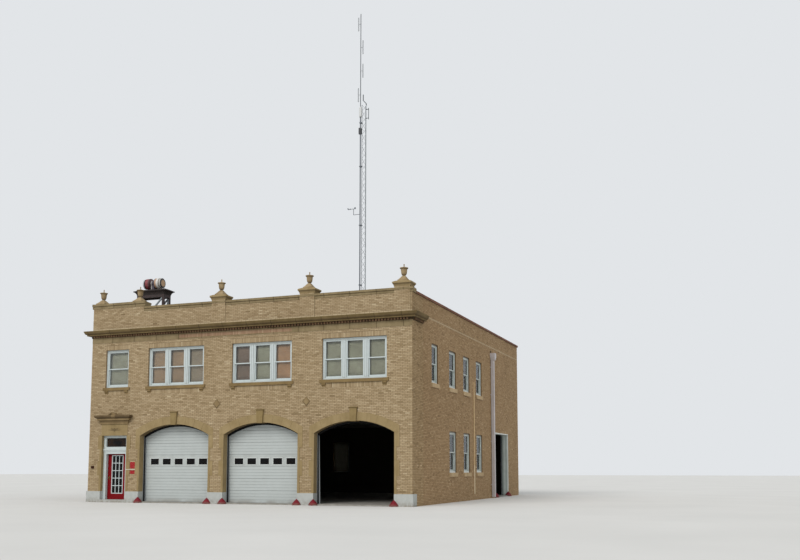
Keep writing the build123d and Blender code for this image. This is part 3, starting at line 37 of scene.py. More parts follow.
# Main lines of the building, in metres
WIDTH, LENGTH = 16.174, 18.700
LEFT, RIGHT, FRONT, REAR = -WIDTH / 2, WIDTH / 2, -LENGTH / 2, LENGTH / 2
FRONT_WALL, SIDE_WALL = 0.410, 0.330
FOOT, PLINTH = 0.062, 0.512
BAY_PITCH = 4.438
BAYS = [LEFT + 4.680 + i * BAY_PITCH for i in range(3)]
BAY_HALF, SPRING, CROWN = 1.83, 3.056, 3.560
RADIUS = (BAY_HALF ** 2 + (CROWN - SPRING) ** 2) / (2 * (CROWN - SPRING))
CENTRE = CROWN - RADIUS
ENTRY = LEFT + 1.422
FRIEZE, DENTILS, FASCIA, CORNICE_TOP = 7.460, 7.7101, 7.811, 8.000
PARAPET, RAISED_PARAPET, RAISED_END = 8.880, 9.120, LEFT + 2.865
DIES, DIE_HALF = ((BAYS[0] + BAYS[1]) / 2, (BAYS[1] + BAYS[2]) / 2, RIGHT - 0.43), 0.35
DIAMOND_Z, DIAMOND_HALF_W, DIAMOND_HALF_H = 4.425, 0.190, 0.215
SIREN_X, SIREN_Y, SIREN_Z = LEFT + 1.285, FRONT + 2.900, 10.835

# Bricks: their sizes, how far the outer skin of a wall stands out, and the pale course over the cornice
BRICK_L, BRICK_H, JOINT = 0.201, 0.055, 0.012
COURSE = BRICK_H + JOINT
SKIN = 0.004
BLOOM_Z = 8.105

# Windows of the front, each as (middle, width, lights), and their frames
WINDOWS = [(LEFT + 1.447, 1.285, 1)] + [(x, 2.98, 3) for x in BAYS]
SILL, HEAD = 5.335, 7.107
FRAME_W, POST_W, FRAME_FACE = 0.085, 0.22, -0.100


# Materials
def rgb(r, g, b):
    """A colour given as it shows on a screen, 0 to 255."""
    def line(v):
        v /= 255
        return v / 12.92 if v <= 0.04045 else ((v + 0.055) / 1.055) ** 2.4
    return (line(r), line(g), line(b), 1.0)


class Nodes:
    """A small writer of procedural materials."""

    def __init__(self, name, roughness=0.8, metallic=0.0, specular=0.5):
        self.material = bpy.data.materials.new(name)
        self.material.use_nodes = True
        self.tree = self.material.node_tree
        self.shader = self.tree.nodes["Principled BSDF"]
        self.shader.inputs["Roughness"].default_value = roughness
        self.shader.inputs["Metallic"].default_value = metallic
        self.shader.inputs["Specular IOR Level"].default_value = specular
        self.place = self.add("ShaderNodeTexCoord").outputs["Object"]

    def add(self, kind, values=None, **settings):
        node = self.tree.nodes.new(kind)
        for key, value in settings.items():
            setattr(node, key, value)
        for key, value in (values or {}).items():
            if isinstance(value, bpy.types.NodeSocket):
                self.tree.links.new(value, node.inputs[key])
            else:
                node.inputs[key].default_value = value
        return node

    def stretched(self, x, y, z):
        values = {0: self.place, 1: (x, y, z)}
        return self.add("ShaderNodeVectorMath", values, operation="MULTIPLY").outputs[0]

    def noise(self, scale, detail=3.0, place=None):
        values = {"Vector": place or self.place, "Scale": scale, "Detail": detail, "Roughness": 0.55}
        return self.add("ShaderNodeTexNoise", values).outputs["Fac"]

    def math(self, operation, a, b=0.0):
        return self.add("ShaderNodeMath", {0: a, 1: b}, operation=operation).outputs[0]

    def span(self, value, low, high, out_low=0.0, out_high=1.0):
        return self.add("ShaderNodeMapRange", {0: value, 1: low, 2: high, 3: out_low, 4: out_high}).outputs[0]

    def mix(self, factor, a, b, blend="MIX"):
        values = {0: factor, 6: a, 7: b}
        return self.add("ShaderNodeMix", values, data_type="RGBA", blend_type=blend).outputs[2]

    def times(self, a, b):
        return self.mix(1.0, a, b, "MULTIPLY")

    def ramp(self, factor, stops):
        node = self.add("ShaderNodeValToRGB", {0: factor})
        ramp = node.color_ramp
        while len(ramp.elements) < len(stops):
            ramp.elements.new(0.5)
        for element, (position, colour) in zip(ramp.elements, stops):
            element.position = position
            element.color = colour
        return node.outputs[0]

    def axes(self):
        node = self.add("ShaderNodeSeparateXYZ", {0: self.place})
        return node.outputs[0], node.outputs[1], node.outputs[2]

    def colour(self, value):
        self.tree.links.new(value, self.shader.inputs["Base Color"])

    def rough(self, value):
        self.tree.links.new(value, self.shader.inputs["Roughness"])

    def bump(self, height, distance=0.002, strength=0.6):
        node = self.add("ShaderNodeBump", {"Height": height, "Distance": distance, "Strength": strength})
        self.tree.links.new(node.outputs[0], self.shader.inputs["Normal"])


def brick_material(name, stops):
    """Wire-cut brick: a tone for each brick, iron specks, drag marks, soft staining, and a pale bloom
    in the course over the cornice."""
    n = Nodes(name, roughness=0.88, specular=0.3)
    tone = n.add("ShaderNodeAttribute", attribute_name="tone").outputs["Fac"]
    base = n.ramp(tone, stops)
    marks = n.noise(1.0, 3.0, n.stretched(45, 45, 240))
    base = n.mix(n.span(marks, 0.35, 0.7, 0.0, 0.35), base, rgb(120, 98, 74))
    specks = n.noise(190.0, 2.0)
    base = n.mix(n.span(specks, 0.66, 0.74), base, rgb(84, 68, 52))
    over_cornice = n.math("ABSOLUTE", n.math("SUBTRACT", n.axes()[2], BLOOM_Z))
    base = n.mix(n.span(over_cornice, 0.030, 0.045, 0.45, 0.0), base, rgb(206, 190, 160))
    stain = n.noise(0.55, 4.0, n.stretched(1, 1, 0.35))
    base = n.mix(n.span(stain, 0.42, 0.72, 0.0, 0.3), base, n.times(base, rgb(204, 196, 180)))
    n.colour(base)
    n.rough(n.span(specks, 0.3, 0.8, 0.95, 0.72))
    n.bump(n.math("ADD", marks, n.math("MULTIPLY", specks, 0.4)), 0.0025, 0.7)
    return n.material


def wall_material(name, face, joint, inner):
    """A wall: mortar on the outside plane, brick courses in the reveals, painted plaster inside."""
    reveal_depth, plaster_depth = 0.004, 0.322
    n = Nodes(name, roughness=0.9, specular=0.25)
    x, y, z = n.axes()
    to_x = n.math("SUBTRACT", RIGHT, n.math("ABSOLUTE", x))
    to_y = n.math("SUBTRACT", REAR, n.math("ABSOLUTE", y))
    depth = n.math("MINIMUM", to_x, to_y)
    course = n.math("FRACT", n.math("DIVIDE", n.math("SUBTRACT", z, PLINTH), COURSE))
    in_joint = n.math("GREATER_THAN", course, 0.85)
    grain = n.noise(160.0, 3.0)
    reveal = n.mix(in_joint, n.mix(n.math("MULTIPLY", n.noise(9.0), 0.6), face, rgb(136, 110, 82)), joint)
    outer = n.mix(n.span(grain, 0.35, 0.7, 0.0, 0.6), joint, rgb(128, 111, 84))
    plaster = n.mix(n.span(n.noise(0.7, 3.0), 0.3, 0.8), inner, n.times(inner, rgb(206, 204, 198)))
    body = n.mix(n.math("GREATER_THAN", depth, reveal_depth), outer, reveal)
    body = n.mix(n.math("GREATER_THAN", depth, plaster_depth), body, plaster)
    n.colour(body)
    hide = n.math("LESS_THAN", depth, plaster_depth)
    n.bump(n.math("ADD", grain, n.math("MULTIPLY", n.math("MULTIPLY", in_joint, hide), -1.5)), 0.002, 0.6)
    return n.material


def stone_material(name, pale, dark, joints=False, darkening=None):
    """Cast stone: olive-tan, blotched, faintly streaked by rain, with painted shade on the faces that look
    down,
    and darker in one place where asked: darkening is a function of the writer and the three coordinates that
    gives its strength."""
    n = Nodes(name, roughness=0.86, specular=0.3)
    x, y, z = n.axes()
    blotch = n.noise(2.2, 5.0)
    base = n.mix(n.span(blotch, 0.3, 0.7), dark, pale)
    streak = n.noise(1.0, 4.0, n.stretched(7.0, 7.0, 0.55))
    base = n.mix(n.span(streak, 0.5, 0.75, 0.0, 0.22), base, n.times(base, rgb(186, 174, 150)))
    grain = n.noise(240.0, 3.0)
    base = n.mix(n.span(grain, 0.55, 0.75, 0.0, 0.5), base, rgb(96, 84, 58))
    pits = n.noise(60.0, 2.0)
    height = n.math("ADD", n.math("MULTIPLY", grain, 0.5), pits)
    if joints:
        start, pitch, half, stained = -20.347, 1.22, 0.006, 0.034
        step = n.math("FRACT", n.math("DIVIDE", n.math("SUBTRACT", x, start), pitch))
        away = n.math("MULTIPLY", n.math("MINIMUM", step, n.math("SUBTRACT", 1.0, step)), pitch)
        seam = n.math("LESS_THAN", away, half)
        base = n.mix(n.span(away, half, stained, 0.4, 0.0), base, n.times(base, rgb(160, 148, 126)))
        base = n.mix(seam, base, rgb(58, 50, 34))
        height = n.math("SUBTRACT", height, n.math("MULTIPLY", seam, 2.0))
    # Faces that look down are darkened towards rgb(66, 52, 34): painted shade on the undersides.
    facing = n.add("ShaderNodeSeparateXYZ", {0: n.add("ShaderNodeNewGeometry").outputs["Normal"]}).outputs[2]
    base = n.mix(n.span(facing, -0.1, -0.7, 0.0, 0.55), base, rgb(66, 52, 34))
    # Where asked, darker towards rgb(50, 35, 22): painted shade behind the dentils, on the crown of the hood
    # and round the diamonds, and a plain darkening on the raised spray over the entry.
    if darkening:
        base = n.mix(darkening(n, x, y, z), base, rgb(50, 35, 22))
    n.colour(base)
    n.bump(height, 0.002, 0.5)
    return n.material


def painted(name, colour, worn, roughness=0.45, wear=0.62, grime=None, scale=7.0, specular=0.5, patchy=0.35):
    """Paint with a soft orange peel, dull patches and chips down to what is under it."""
    n = Nodes(name, roughness=roughness, specular=specular)
    patches = n.noise(scale, 5.0)
    base = n.mix(n.span(patches, 0.35, 0.75, 0.0, patchy), colour, n.times(colour, rgb(205, 203, 198)))
    chips = n.noise(scale * 6.0, 4.0)
    chip = n.span(chips, wear, wear + 0.03)
    base = n.mix(chip, base, worn)
    if grime:
        z = n.axes()[2]
        low = n.math("MULTIPLY", n.span(z, grime[0], grime[1], 0.75, 0.0), n.span(patches, 0.3, 0.6))
        base = n.mix(low, base, rgb(122, 112, 98))
    n.colour(base)
    peel = n.noise(420.0, 1.0)
    n.rough(n.span(patches, 0.3, 0.75, roughness - 0.08, roughness + 0.22))
    n.bump(n.math("SUBTRACT", n.math("MULTIPLY", peel, 0.2), chip), 0.0006, 0.5)
    return n.material


def banded(name, axis, start, bands, worn, roughness=0.5, wear=0.64, scale=10.0, horn=None):
    """Paint in bands along one axis: each band is the place where it starts and its colour.
    A horn is a tan disc on the end beyond a place along x, given with its middle and its radius."""
    n = Nodes(name, roughness=roughness)
    x, y, z = n.axes()
    along = (x, y, z)[axis]
    base = start
    for place, colour in bands:
        base = n.mix(n.math("GREATER_THAN", along, place), base, colour)
    if horn:
        wide = n.math("POWER", n.math("SUBTRACT", y, horn[1]), 2.0)
        high = n.math("POWER", n.math("SUBTRACT", z, horn[2]), 2.0)
        inside = n.math("LESS_THAN", n.math("ADD", wide, high), horn[3] ** 2)
        base = n.mix(n.math("MULTIPLY", inside, n.math("GREATER_THAN", x, horn[0])), base, rgb(184, 150, 112))
    patches = n.noise(scale, 5.0)
    base = n.mix(n.span(patches, 0.35, 0.75, 0.0, 0.4), base, n.times(base, rgb(196, 190, 184)))
    chip = n.span(n.noise(scale * 5.0, 4.0), wear, wear + 0.03)
    n.colour(n.mix(chip, base, worn))
    n.rough(n.span(patches, 0.3, 0.75, roughness - 0.08, roughness + 0.2))
    n.bump(n.math("SUBTRACT", n.math("MULTIPLY", n.noise(420.0, 1.0), 0.2), chip), 0.0006, 0.5)
    return n.material


def stand_material(name, colour, brace, worn):
    """Painted steel whose thinner braces, set back from the faces of the legs, are another colour."""
    leg_x, leg_y, between_x, between_y, half, eaves = 0.740, 0.243, 0.684, 0.187, 0.034, 10.079
    n = Nodes(name, roughness=0.6)
    x, y, z = n.axes()
    from_x = n.math("ABSOLUTE", n.math("SUBTRACT", x, SIREN_X))
    from_y = n.math("ABSOLUTE", n.math("SUBTRACT", y, SIREN_Y))
    on_x = n.math("LESS_THAN", n.math("ABSOLUTE", n.math("SUBTRACT", from_x, leg_x)), half)
    on_y = n.math("LESS_THAN", n.math("ABSOLUTE", n.math("SUBTRACT", from_y, leg_y)), half)
    across = n.math("MULTIPLY", on_y, n.math("LESS_THAN", from_x, between_x))
    along = n.math("MULTIPLY", on_x, n.math("LESS_THAN", from_y, between_y))
    thin = n.math("MULTIPLY", n.math("MAXIMUM", across, along), n.math("LESS_THAN", z, eaves))
    patches = n.noise(8.0, 5.0)
    base = n.mix(thin, colour, brace)
    base = n.mix(n.span(patches, 0.35, 0.75, 0.0, 0.4), base, n.times(base, rgb(180, 172, 168)))
    chip = n.span(n.noise(44.0, 4.0), 0.58, 0.62)
    n.colour(n.mix(chip, base, worn))
    n.rough(n.span(patches, 0.3, 0.75, 0.5, 0.8))
    n.bump(n.math("SUBTRACT", n.math("MULTIPLY", n.noise(420.0, 1.0), 0.2), chip), 0.0008, 0.5)
    return n.material


def metal(name, colour, roughness, rust=0.0, scale=12.0):
    """Bare or galvanised metal with spangle, dull patches and some rust."""
    n = Nodes(name, roughness=roughness, metallic=0.85)
    spangle = n.add("ShaderNodeTexVoronoi", {"Vector": n.place, "Scale": 90.0}).outputs["Color"]
    base = n.mix(0.18, colour, spangle, "SOFT_LIGHT")
    patches = n.noise(scale, 5.0)
    base = n.mix(n.span(patches, 0.4, 0.7, 0.0, 0.5), base, n.times(colour, rgb(170, 170, 170)))
    if rust:
        base = n.mix(n.span(patches, 0.7 - rust, 0.8 - rust), base, rgb(118, 70, 44))
    n.colour(base)
    n.rough(n.span(patches, 0.3, 0.7, roughness - 0.08, roughness + 0.2))
    n.bump(n.noise(80.0), 0.0008, 0.3)
    return n.material


def glass_material(name, tint, dust_and_shade_share=0.10, index=1.52, dust_and_shade_colour=(0.35, 0.34, 0.31, 1)):
    """Window glass: clear, faintly tinted, with a mirror that grows at a slant, and a diffuse layer: dust on
    the windows, painted shade on the dark glasses.
    """
    material = bpy.data.materials.new(name)
    material.use_nodes = True
    tree = material.node_tree
    tree.nodes.remove(tree.nodes["Principled BSDF"])
    clear = tree.nodes.new("ShaderNodeBsdfTransparent")
    clear.inputs[0].default_value = tint
    gloss = tree.nodes.new("ShaderNodeBsdfGlossy")
    gloss.inputs["Roughness"].default_value = 0.03
    gloss.inputs["Color"].default_value = (0.9, 0.93, 0.95, 1)
    fresnel = tree.nodes.new("ShaderNodeFresnel")
    fresnel.inputs[0].default_value = index
    mix = tree.nodes.new("ShaderNodeMixShader")
    tree.links.new(fresnel.outputs[0], mix.inputs[0])
    tree.links.new(clear.outputs[0], mix.inputs[1])
    tree.links.new(gloss.outputs[0], mix.inputs[2])
    dust_and_shade = tree.nodes.new("ShaderNodeBsdfDiffuse")
    dust_and_shade.inputs[0].default_value = dust_and_shade_colour
    place = tree.nodes.new("ShaderNodeTexCoord")
    noise = tree.nodes.new("ShaderNodeTexNoise")
    noise.inputs["Scale"].default_value = 3.0
    tree.links.new(place.outputs["Object"], noise.inputs["Vector"])
    spread = tree.nodes.new("ShaderNodeMapRange")
    spread.inputs[1].default_value = 0.4
    spread.inputs[2].default_value = 0.8
    spread.inputs[4].default_value = dust_and_shade_share
    tree.links.new(noise.outputs["Fac"], spread.inputs[0])
    dust_and_shade_mix = tree.nodes.new("ShaderNodeMixShader")
    tree.links.new(spread.outputs[0], dust_and_shade_mix.inputs[0])
    tree.links.new(mix.outputs[0], dust_and_shade_mix.inputs[1])
    tree.links.new(dust_and_shade.outputs[0], dust_and_shade_mix.inputs[2])
    tree.links.new(dust_and_shade_mix.outputs[0], tree.nodes["Material Output"].inputs[0])
    return material


def shade_material(name, colour):
    """Woven roller-shade cloth."""
    n = Nodes(name, roughness=0.9, specular=0.2)
    warp = n.noise(1.0, 2.0, n.stretched(900, 900, 60))
    weft = n.noise(1.0, 2.0, n.stretched(60, 60, 900))
    # Soft darker patches: painted shade of folds in the cloth
    fold_shade = n.noise(1.6, 3.0)
    base = n.mix(n.span(fold_shade, 0.3, 0.7, 0.0, 0.45), colour, n.times(colour, rgb(190, 186, 178)))
    weave = n.math("ADD", warp, weft)
    base = n.mix(n.span(weave, 0.8, 1.2, 0.0, 0.2), base, n.times(base, rgb(150, 146, 140)))
    n.colour(base)
    n.bump(weave, 0.0008, 0.4)
    return n.material


def ground_material(name, pale, dark, scale=3.0, pebbles=0.0):
    """Concrete or gravel, mottled and speckled."""
    n = Nodes(name, roughness=0.92, specular=0.25)
    mottle = n.noise(scale, 6.0)
    base = n.mix(n.span(mottle, 0.3, 0.7), dark, pale)
    height = n.noise(120.0, 3.0)
    if pebbles:
        cells = n.add("ShaderNodeTexVoronoi", {"Vector": n.place, "Scale": 1.0 / pebbles})
        shade = n.add("ShaderNodeSeparateColor", {0: cells.outputs["Color"]}).outputs[0]
        base = n.mix(n.span(shade, 0.0, 1.0, 0.0, 0.6), base, rgb(168, 160, 146))
        height = n.math("SUBTRACT", 1.0, cells.outputs["Distance"])
    else:
        base = n.mix(n.span(height, 0.6, 0.75, 0.0, 0.4), base, rgb(104, 100, 94))
    n.colour(base)
    n.bump(height, 0.02 if pebbles else 0.0015, 0.6)
    return n.material


FACE_STOPS = [(0.0, rgb(128, 109, 80)), (0.25, rgb(152, 132, 100)), (0.5, rgb(168, 148, 116)),
              (0.75, rgb(182, 163, 131)), (1.0, rgb(196, 179, 148))]
RETURN_STOPS = [(0.0, rgb(120, 98, 68)), (0.25, rgb(149, 124, 88)), (0.5, rgb(166, 140, 102)),
                (0.75, rgb(180, 154, 116)), (1.0, rgb(202, 178, 142))]
PANEL_STOPS = [(0.0, rgb(126, 94, 74)), (0.4, rgb(146, 115, 92)), (0.6, rgb(156, 126, 101)),
               (1.0, rgb(172, 146, 120))]
SIDE_STOPS = [(0.0, rgb(130, 104, 72)), (0.25, rgb(151, 123, 87)), (0.5, rgb(165, 136, 99)),
              (0.75, rgb(178, 150, 112)), (1.0, rgb(200, 174, 136))]
face_brick = brick_material("face_brick", FACE_STOPS)
side_brick = brick_material("side_brick", SIDE_STOPS)
return_brick = brick_material("return_brick", RETURN_STOPS)
panel_brick = brick_material("panel_brick", PANEL_STOPS)
MORTAR = rgb(92, 76, 52)
# The plaster inside the front and side walls is near black: painted shade of the unlit hall.
SHADED_PLASTER = rgb(62, 58, 52)
front_wall = wall_material("front_wall", rgb(160, 136, 103), MORTAR, SHADED_PLASTER)
# The side wall's reveals take a dark brown brick: painted shade in the window reveals.
side_wall = wall_material("side_wall", rgb(92, 70, 44), rgb(108, 86, 58), SHADED_PLASTER)
parapet_wall = wall_material("parapet_wall", rgb(156, 132, 98), rgb(100, 82, 56), rgb(158, 148, 130))


def behind_dentils(n, x, y, z):
    """Painted shade between and behind the dentils, near the wall, under the fascia of the cornice."""
    reach, strength = 0.060, 0.8
    out = n.math("MAXIMUM", n.math("SUBTRACT", FRONT, y), n.math("SUBTRACT", n.math("ABSOLUTE", x), RIGHT))
    low = n.math("MULTIPLY", n.math("LESS_THAN", z, FASCIA), n.math("GREATER_THAN", z, DENTILS))
    return n.math("MULTIPLY", n.math("MULTIPLY", low, n.math("LESS_THAN", out, reach)), strength)


def round_spray(n, x, y, z):
    """The raised spray over the entry, painted darker, most of all in the middle."""
    raised = n.math("LESS_THAN", y, FRONT - 0.0215)
    off = n.math("ABSOLUTE", n.math("SUBTRACT", x, ENTRY))
    return n.math("MULTIPLY", raised, n.span(off, 0.10, 0.26, 0.5, 0.12))


def diamond_rim(n, x, y, z):
    """Painted shade on the outer band of each diamond, most of all below."""
    from_bay = n.math("ABSOLUTE", n.math("SUBTRACT", x, BAYS[1]))
    off = n.math("ABSOLUTE", n.math("SUBTRACT", from_bay, BAY_PITCH / 2))
    level = n.math("SUBTRACT", z, DIAMOND_Z)
    reach = n.math("ADD", n.math("DIVIDE", off, DIAMOND_HALF_W),
                   n.math("DIVIDE", n.math("ABSOLUTE", level), DIAMOND_HALF_H))
    return n.math("MULTIPLY", n.math("GREATER_THAN", reach, 0.72), n.span(level, -0.12, 0.12, 0.5, 0.2))


def hood_crown(n, x, y, z):
    """Painted shade on the crown of the hood, all but the face of its small gable."""
    crown_z, gable_x, gable_half, strength = 3.880, ENTRY + 0.075, 0.105, 0.5
    off = n.math("ABSOLUTE", n.math("SUBTRACT", x, gable_x))
    beside = n.math("MULTIPLY", n.math("GREATER_THAN", z, crown_z), n.math("GREATER_THAN", off, gable_half))
    return n.math("MULTIPLY", beside, strength)


stone = stone_material("cast_stone", rgb(152, 133, 97), rgb(136, 117, 81))
entry_stone = stone_material("entry_stone", rgb(148, 129, 92), rgb(132, 113, 77), darkening=round_spray)
hood_stone = stone_material("hood_stone", rgb(142, 121, 86), rgb(116, 97, 66), darkening=hood_crown)
band_stone = stone_material("band_stone", rgb(140, 124, 93), rgb(117, 102, 73), joints=True)
cornice_stone = stone_material("cornice_stone", rgb(122, 104, 68), rgb(98, 81, 50), joints=True,
                               darkening=behind_dentils)
dentil_stone = stone_material("dentil_stone", rgb(118, 90, 64), rgb(88, 66, 46), darkening=behind_dentils)
key_stone = stone_material("key_stone", rgb(138, 119, 80), rgb(116, 97, 62))
diamond_stone = stone_material("diamond_stone", rgb(142, 122, 88), rgb(124, 104, 72), darkening=diamond_rim)
urn_stone = stone_material("urn_stone", rgb(166, 147, 114), rgb(128, 108, 78))
plain_sill = stone_material("plain_sill", rgb(190, 166, 130), rgb(166, 141, 105))
sill_stone = stone_material("sill_stone", rgb(134, 113, 76), rgb(112, 92, 58))
masonry_paint = painted("masonry_paint", rgb(170, 173, 170), rgb(146, 143, 136), 0.7, 0.76, grime=(0.0, 0.26),
                        patchy=0.25)
white_wood = painted("white_wood", rgb(188, 197, 197), rgb(166, 160, 148), 0.42, 0.74, patchy=0.2)
door_white = painted("door_white", rgb(176, 182, 181), rgb(156, 160, 159), 0.42, 0.8, grime=(0.0, 0.25),
                     scale=2.2, patchy=0.14)
# The face of a shut door shows in the grooves between its ribs, darker there as painted shade, and plain in
# the section with the lights
door_face = banded("door_face", 2, rgb(154, 160, 160),
                   [(1.652, rgb(176, 182, 181)), (2.174, rgb(154, 160, 160))],
                   rgb(150, 154, 153), 0.5, 0.8, 2.2)
# Side windows: a paler foot, painted light on the sill, duller sides and a dark head, painted shadow under
# the head of the opening, on both storeys
side_white = banded("side_white", 2, rgb(226, 231, 228),
                    [(1.425, rgb(188, 196, 192)), (3.205, rgb(104, 98, 84)), (4.0, rgb(226, 231, 228)),
                     (5.350, rgb(188, 196, 192)), (6.975, rgb(104, 98, 84))],
                    rgb(166, 160, 148), 0.42, 0.74, 7.0)
rim_white = painted("rim_white", rgb(206, 211, 209), rgb(172, 174, 172), 0.36, 0.78)
red_paint = painted("red_paint", rgb(116, 6, 14), rgb(72, 18, 18), 0.36, 0.74, specular=0.14)
dome_red = painted("dome_red", rgb(112, 18, 32), rgb(88, 46, 42), 0.55, 0.62, grime=(0.0, 0.12), scale=9.0,
                   specular=0.24)
plate_red = painted("plate_red", rgb(150, 22, 28), rgb(190, 120, 112), 0.4, 0.62, scale=16.0, specular=0.24)
# Grey strips beside the window boards: painted shade in the grooves
groove_shade_grey = painted("groove_shade_grey", rgb(112, 118, 120), rgb(92, 92, 90), 0.6, 0.7, scale=20.0)
angle_grey = painted("angle_grey", rgb(140, 145, 148), rgb(110, 106, 100), 0.5, 0.7, scale=16.0)
# The lining is lighter and darker in strips across its depth: painted light and shade on the strips between
# its folds
sheet_grey = banded("sheet_grey", 0, rgb(176, 186, 180),
                    [(RIGHT - 0.245, rgb(214, 221, 216)), (RIGHT - 0.150, rgb(186, 196, 190)),
                     (RIGHT - 0.055, rgb(222, 226, 222))], rgb(150, 148, 140), 0.45, 0.76, 3.0)
key_metal = painted("key_metal", rgb(54, 26, 12), rgb(92, 58, 38), 0.6, 0.7, scale=30.0, specular=0.12)
pale_metal = painted("pale_metal", rgb(206, 200, 186), rgb(150, 142, 128), 0.5, 0.66, scale=20.0)
brass = metal("brass", rgb(128, 98, 58), 0.4)
steel = metal("hinge_steel", rgb(160, 160, 160), 0.35)
track = metal("track_steel", rgb(150, 154, 156), 0.5)
# The mast's left legs are painted dull and dark and its right leg bright: painted shade and a painted
# highlight on the same steel
mast_metal = banded("mast_metal", 0, rgb(86, 94, 99), [(LEFT + 5.985, rgb(164, 171, 175))],
                    rgb(120, 122, 122), 0.5, 0.66, 9.0)
antenna = painted("antenna_metal", rgb(58, 66, 70), rgb(104, 108, 110), 0.45, 0.7, scale=12.0, specular=0.3)
downpipe = painted("downpipe", rgb(186, 180, 180), rgb(138, 126, 118), 0.4, 0.72, scale=4.0)
conduit = banded("conduit", 2, rgb(232, 214, 180), [(1.72, rgb(218, 190, 146))],
                 rgb(140, 112, 84), 0.6, 0.72, 6.0)
deck_steel = painted("deck_steel", rgb(40, 34, 32), rgb(84, 50, 42), 0.6, 0.62, scale=8.0, specular=0.3)
stand_steel = stand_material("stand_steel", rgb(38, 26, 25), rgb(140, 150, 156), rgb(90, 48, 38))
# The dark bands in the gaps beside the two end discs are painted shade
siren_paint = banded("siren_paint", 0, rgb(176, 180, 184),
                     [(SIREN_X - 0.442, rgb(44, 40, 42)), (SIREN_X - 0.382, rgb(126, 52, 56)),
                      (SIREN_X - 0.215, rgb(76, 44, 44)), (SIREN_X - 0.100, rgb(150, 148, 144)),
                      (SIREN_X - 0.040, rgb(56, 48, 62)), (SIREN_X + 0.100, rgb(66, 54, 50)),
                      (SIREN_X + 0.175, rgb(176, 140, 112)), (SIREN_X + 0.262, rgb(206, 204, 200)),
                      (SIREN_X + 0.436, rgb(188, 184, 178)), (SIREN_X + 0.500, rgb(48, 44, 44))],
                     rgb(110, 88, 72), 0.42, 0.66, 14.0, horn=(SIREN_X + 0.500, SIREN_Y, SIREN_Z, 0.165))
pole_paint = banded("pole_paint", 2, rgb(96, 102, 110),
                    [(23.752, rgb(44, 46, 50)), (24.168, rgb(96, 102, 110)), (24.938, rgb(206, 208, 208))],
                    rgb(84, 76, 70), 0.45, 0.7)
rubber = painted("rubber", rgb(20, 20, 21), rgb(48, 46, 44), 0.8, 0.76, scale=20.0, specular=0.2)
tile = stone_material("clay_tile", rgb(126, 86, 66), rgb(96, 64, 50), joints=True)
concrete = ground_material("concrete", rgb(150, 147, 140), rgb(122, 119, 112))
roofing = ground_material("roofing", rgb(112, 108, 102), rgb(84, 82, 78), pebbles=0.035)
glass = glass_material("glass", (0.92, 0.93, 0.91, 1), 0.06, 1.42)
# The glass of the doors: a dark tint and a near-black diffuse layer, painted shade of the dark rooms behind
dark_glass = glass_material("dark_glass", (0.26, 0.22, 0.19, 1), 0.3, 1.28, (0.014, 0.008, 0.006, 1))
# The transom glass: a brown tint and a brown diffuse layer over most of it, painted shade of the dark room
# behind
brown_glass = glass_material("brown_glass", (0.26, 0.20, 0.16, 1), 0.9, 1.3, (0.055, 0.033, 0.02, 1))

# The finish of each CAD node
FINISHES = (
    (front_wall, "front_arch_wall front_piers front_upper_wall"),
    (parapet_wall, "front_parapet parapet_dies side_parapets"),
    (side_wall, "right_lower_wall right_upper_wall left_wall rear_wall"),
    (stone, "arch_surrounds die_caps"), (key_stone, "keystones"), (diamond_stone, "stone_diamonds"),
    (entry_stone, "entry_surround"), (hood_stone, "entry_hood"), (sill_stone, "window_sills"),
    (urn_stone, "urns"), (band_stone, "frieze_band front_coping"), (cornice_stone, "cornice"),
    (dentil_stone, "dentils"), (tile, "side_copings"), (plain_sill, "side_sills"),
    (masonry_paint, "plinth entry_step"), (concrete, "ground_slab upper_floor"), (roofing, "roof_deck"),
    (white_wood, "front_window_frames entry_frame entry_door_lites"), (side_white, "side_window_frames"),
    (glass, "front_window_glass side_window_glass"), (brown_glass, "transom_glass"),
    (dark_glass, "entry_door_glass bay_door_glass"), (red_paint, "entry_door"), (brass, "entry_door_knob"),
    (steel, "door_hinges frame_hinges"), (door_face, "bay_door_1 bay_door_2"),
    (door_white, "bay_door_3 side_bay_door"), (track, "door_tracks"), (dome_red, "guard_domes"),
    (downpipe, "downspout"), (conduit, "conduit"), (deck_steel, "siren_platform"),
    (stand_steel, "siren_stand"), (siren_paint, "siren"),
    (mast_metal, "mast_section_1 mast_section_2 mast_section_3 mast_fixings"), (pole_paint, "mast_pole"),
    (antenna, "mast_head whip_antenna"))
for material, nodes in FINISHES:
    for node in nodes.split():
        thing = bpy.data.objects.get(node)
        if thing is not None:
            thing.data.materials.clear()
            thing.data.materials.append(material)


# Building blocks
def piece(name, points, faces, material, body="building", smooth=False):
    """A mesh that rides on a body, with the finish it is given."""
    mesh = bpy.data.meshes.new(name)
    mesh.from_pydata(points, [], faces)
    mesh.materials.append(material)
    if smooth:
        mesh.shade_smooth()
    thing = bpy.data.objects.new(name, mesh)
    bpy.context.scene.collection.objects.link(thing)
    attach(thing, body)
    return thing


# Each wall plane as (place of a point (u, z) at a depth out of the wall, whether u runs right to left)
PLANES = {
    "front": (lambda u, z, d: (u, FRONT - d, z), False),
    "right": (lambda u, z, d: (RIGHT + d, u, z), False),
    "left": (lambda u, z, d: (LEFT - d, u, z), True),
    "rear": (lambda u, z, d: (u, REAR + d, z), True),
}


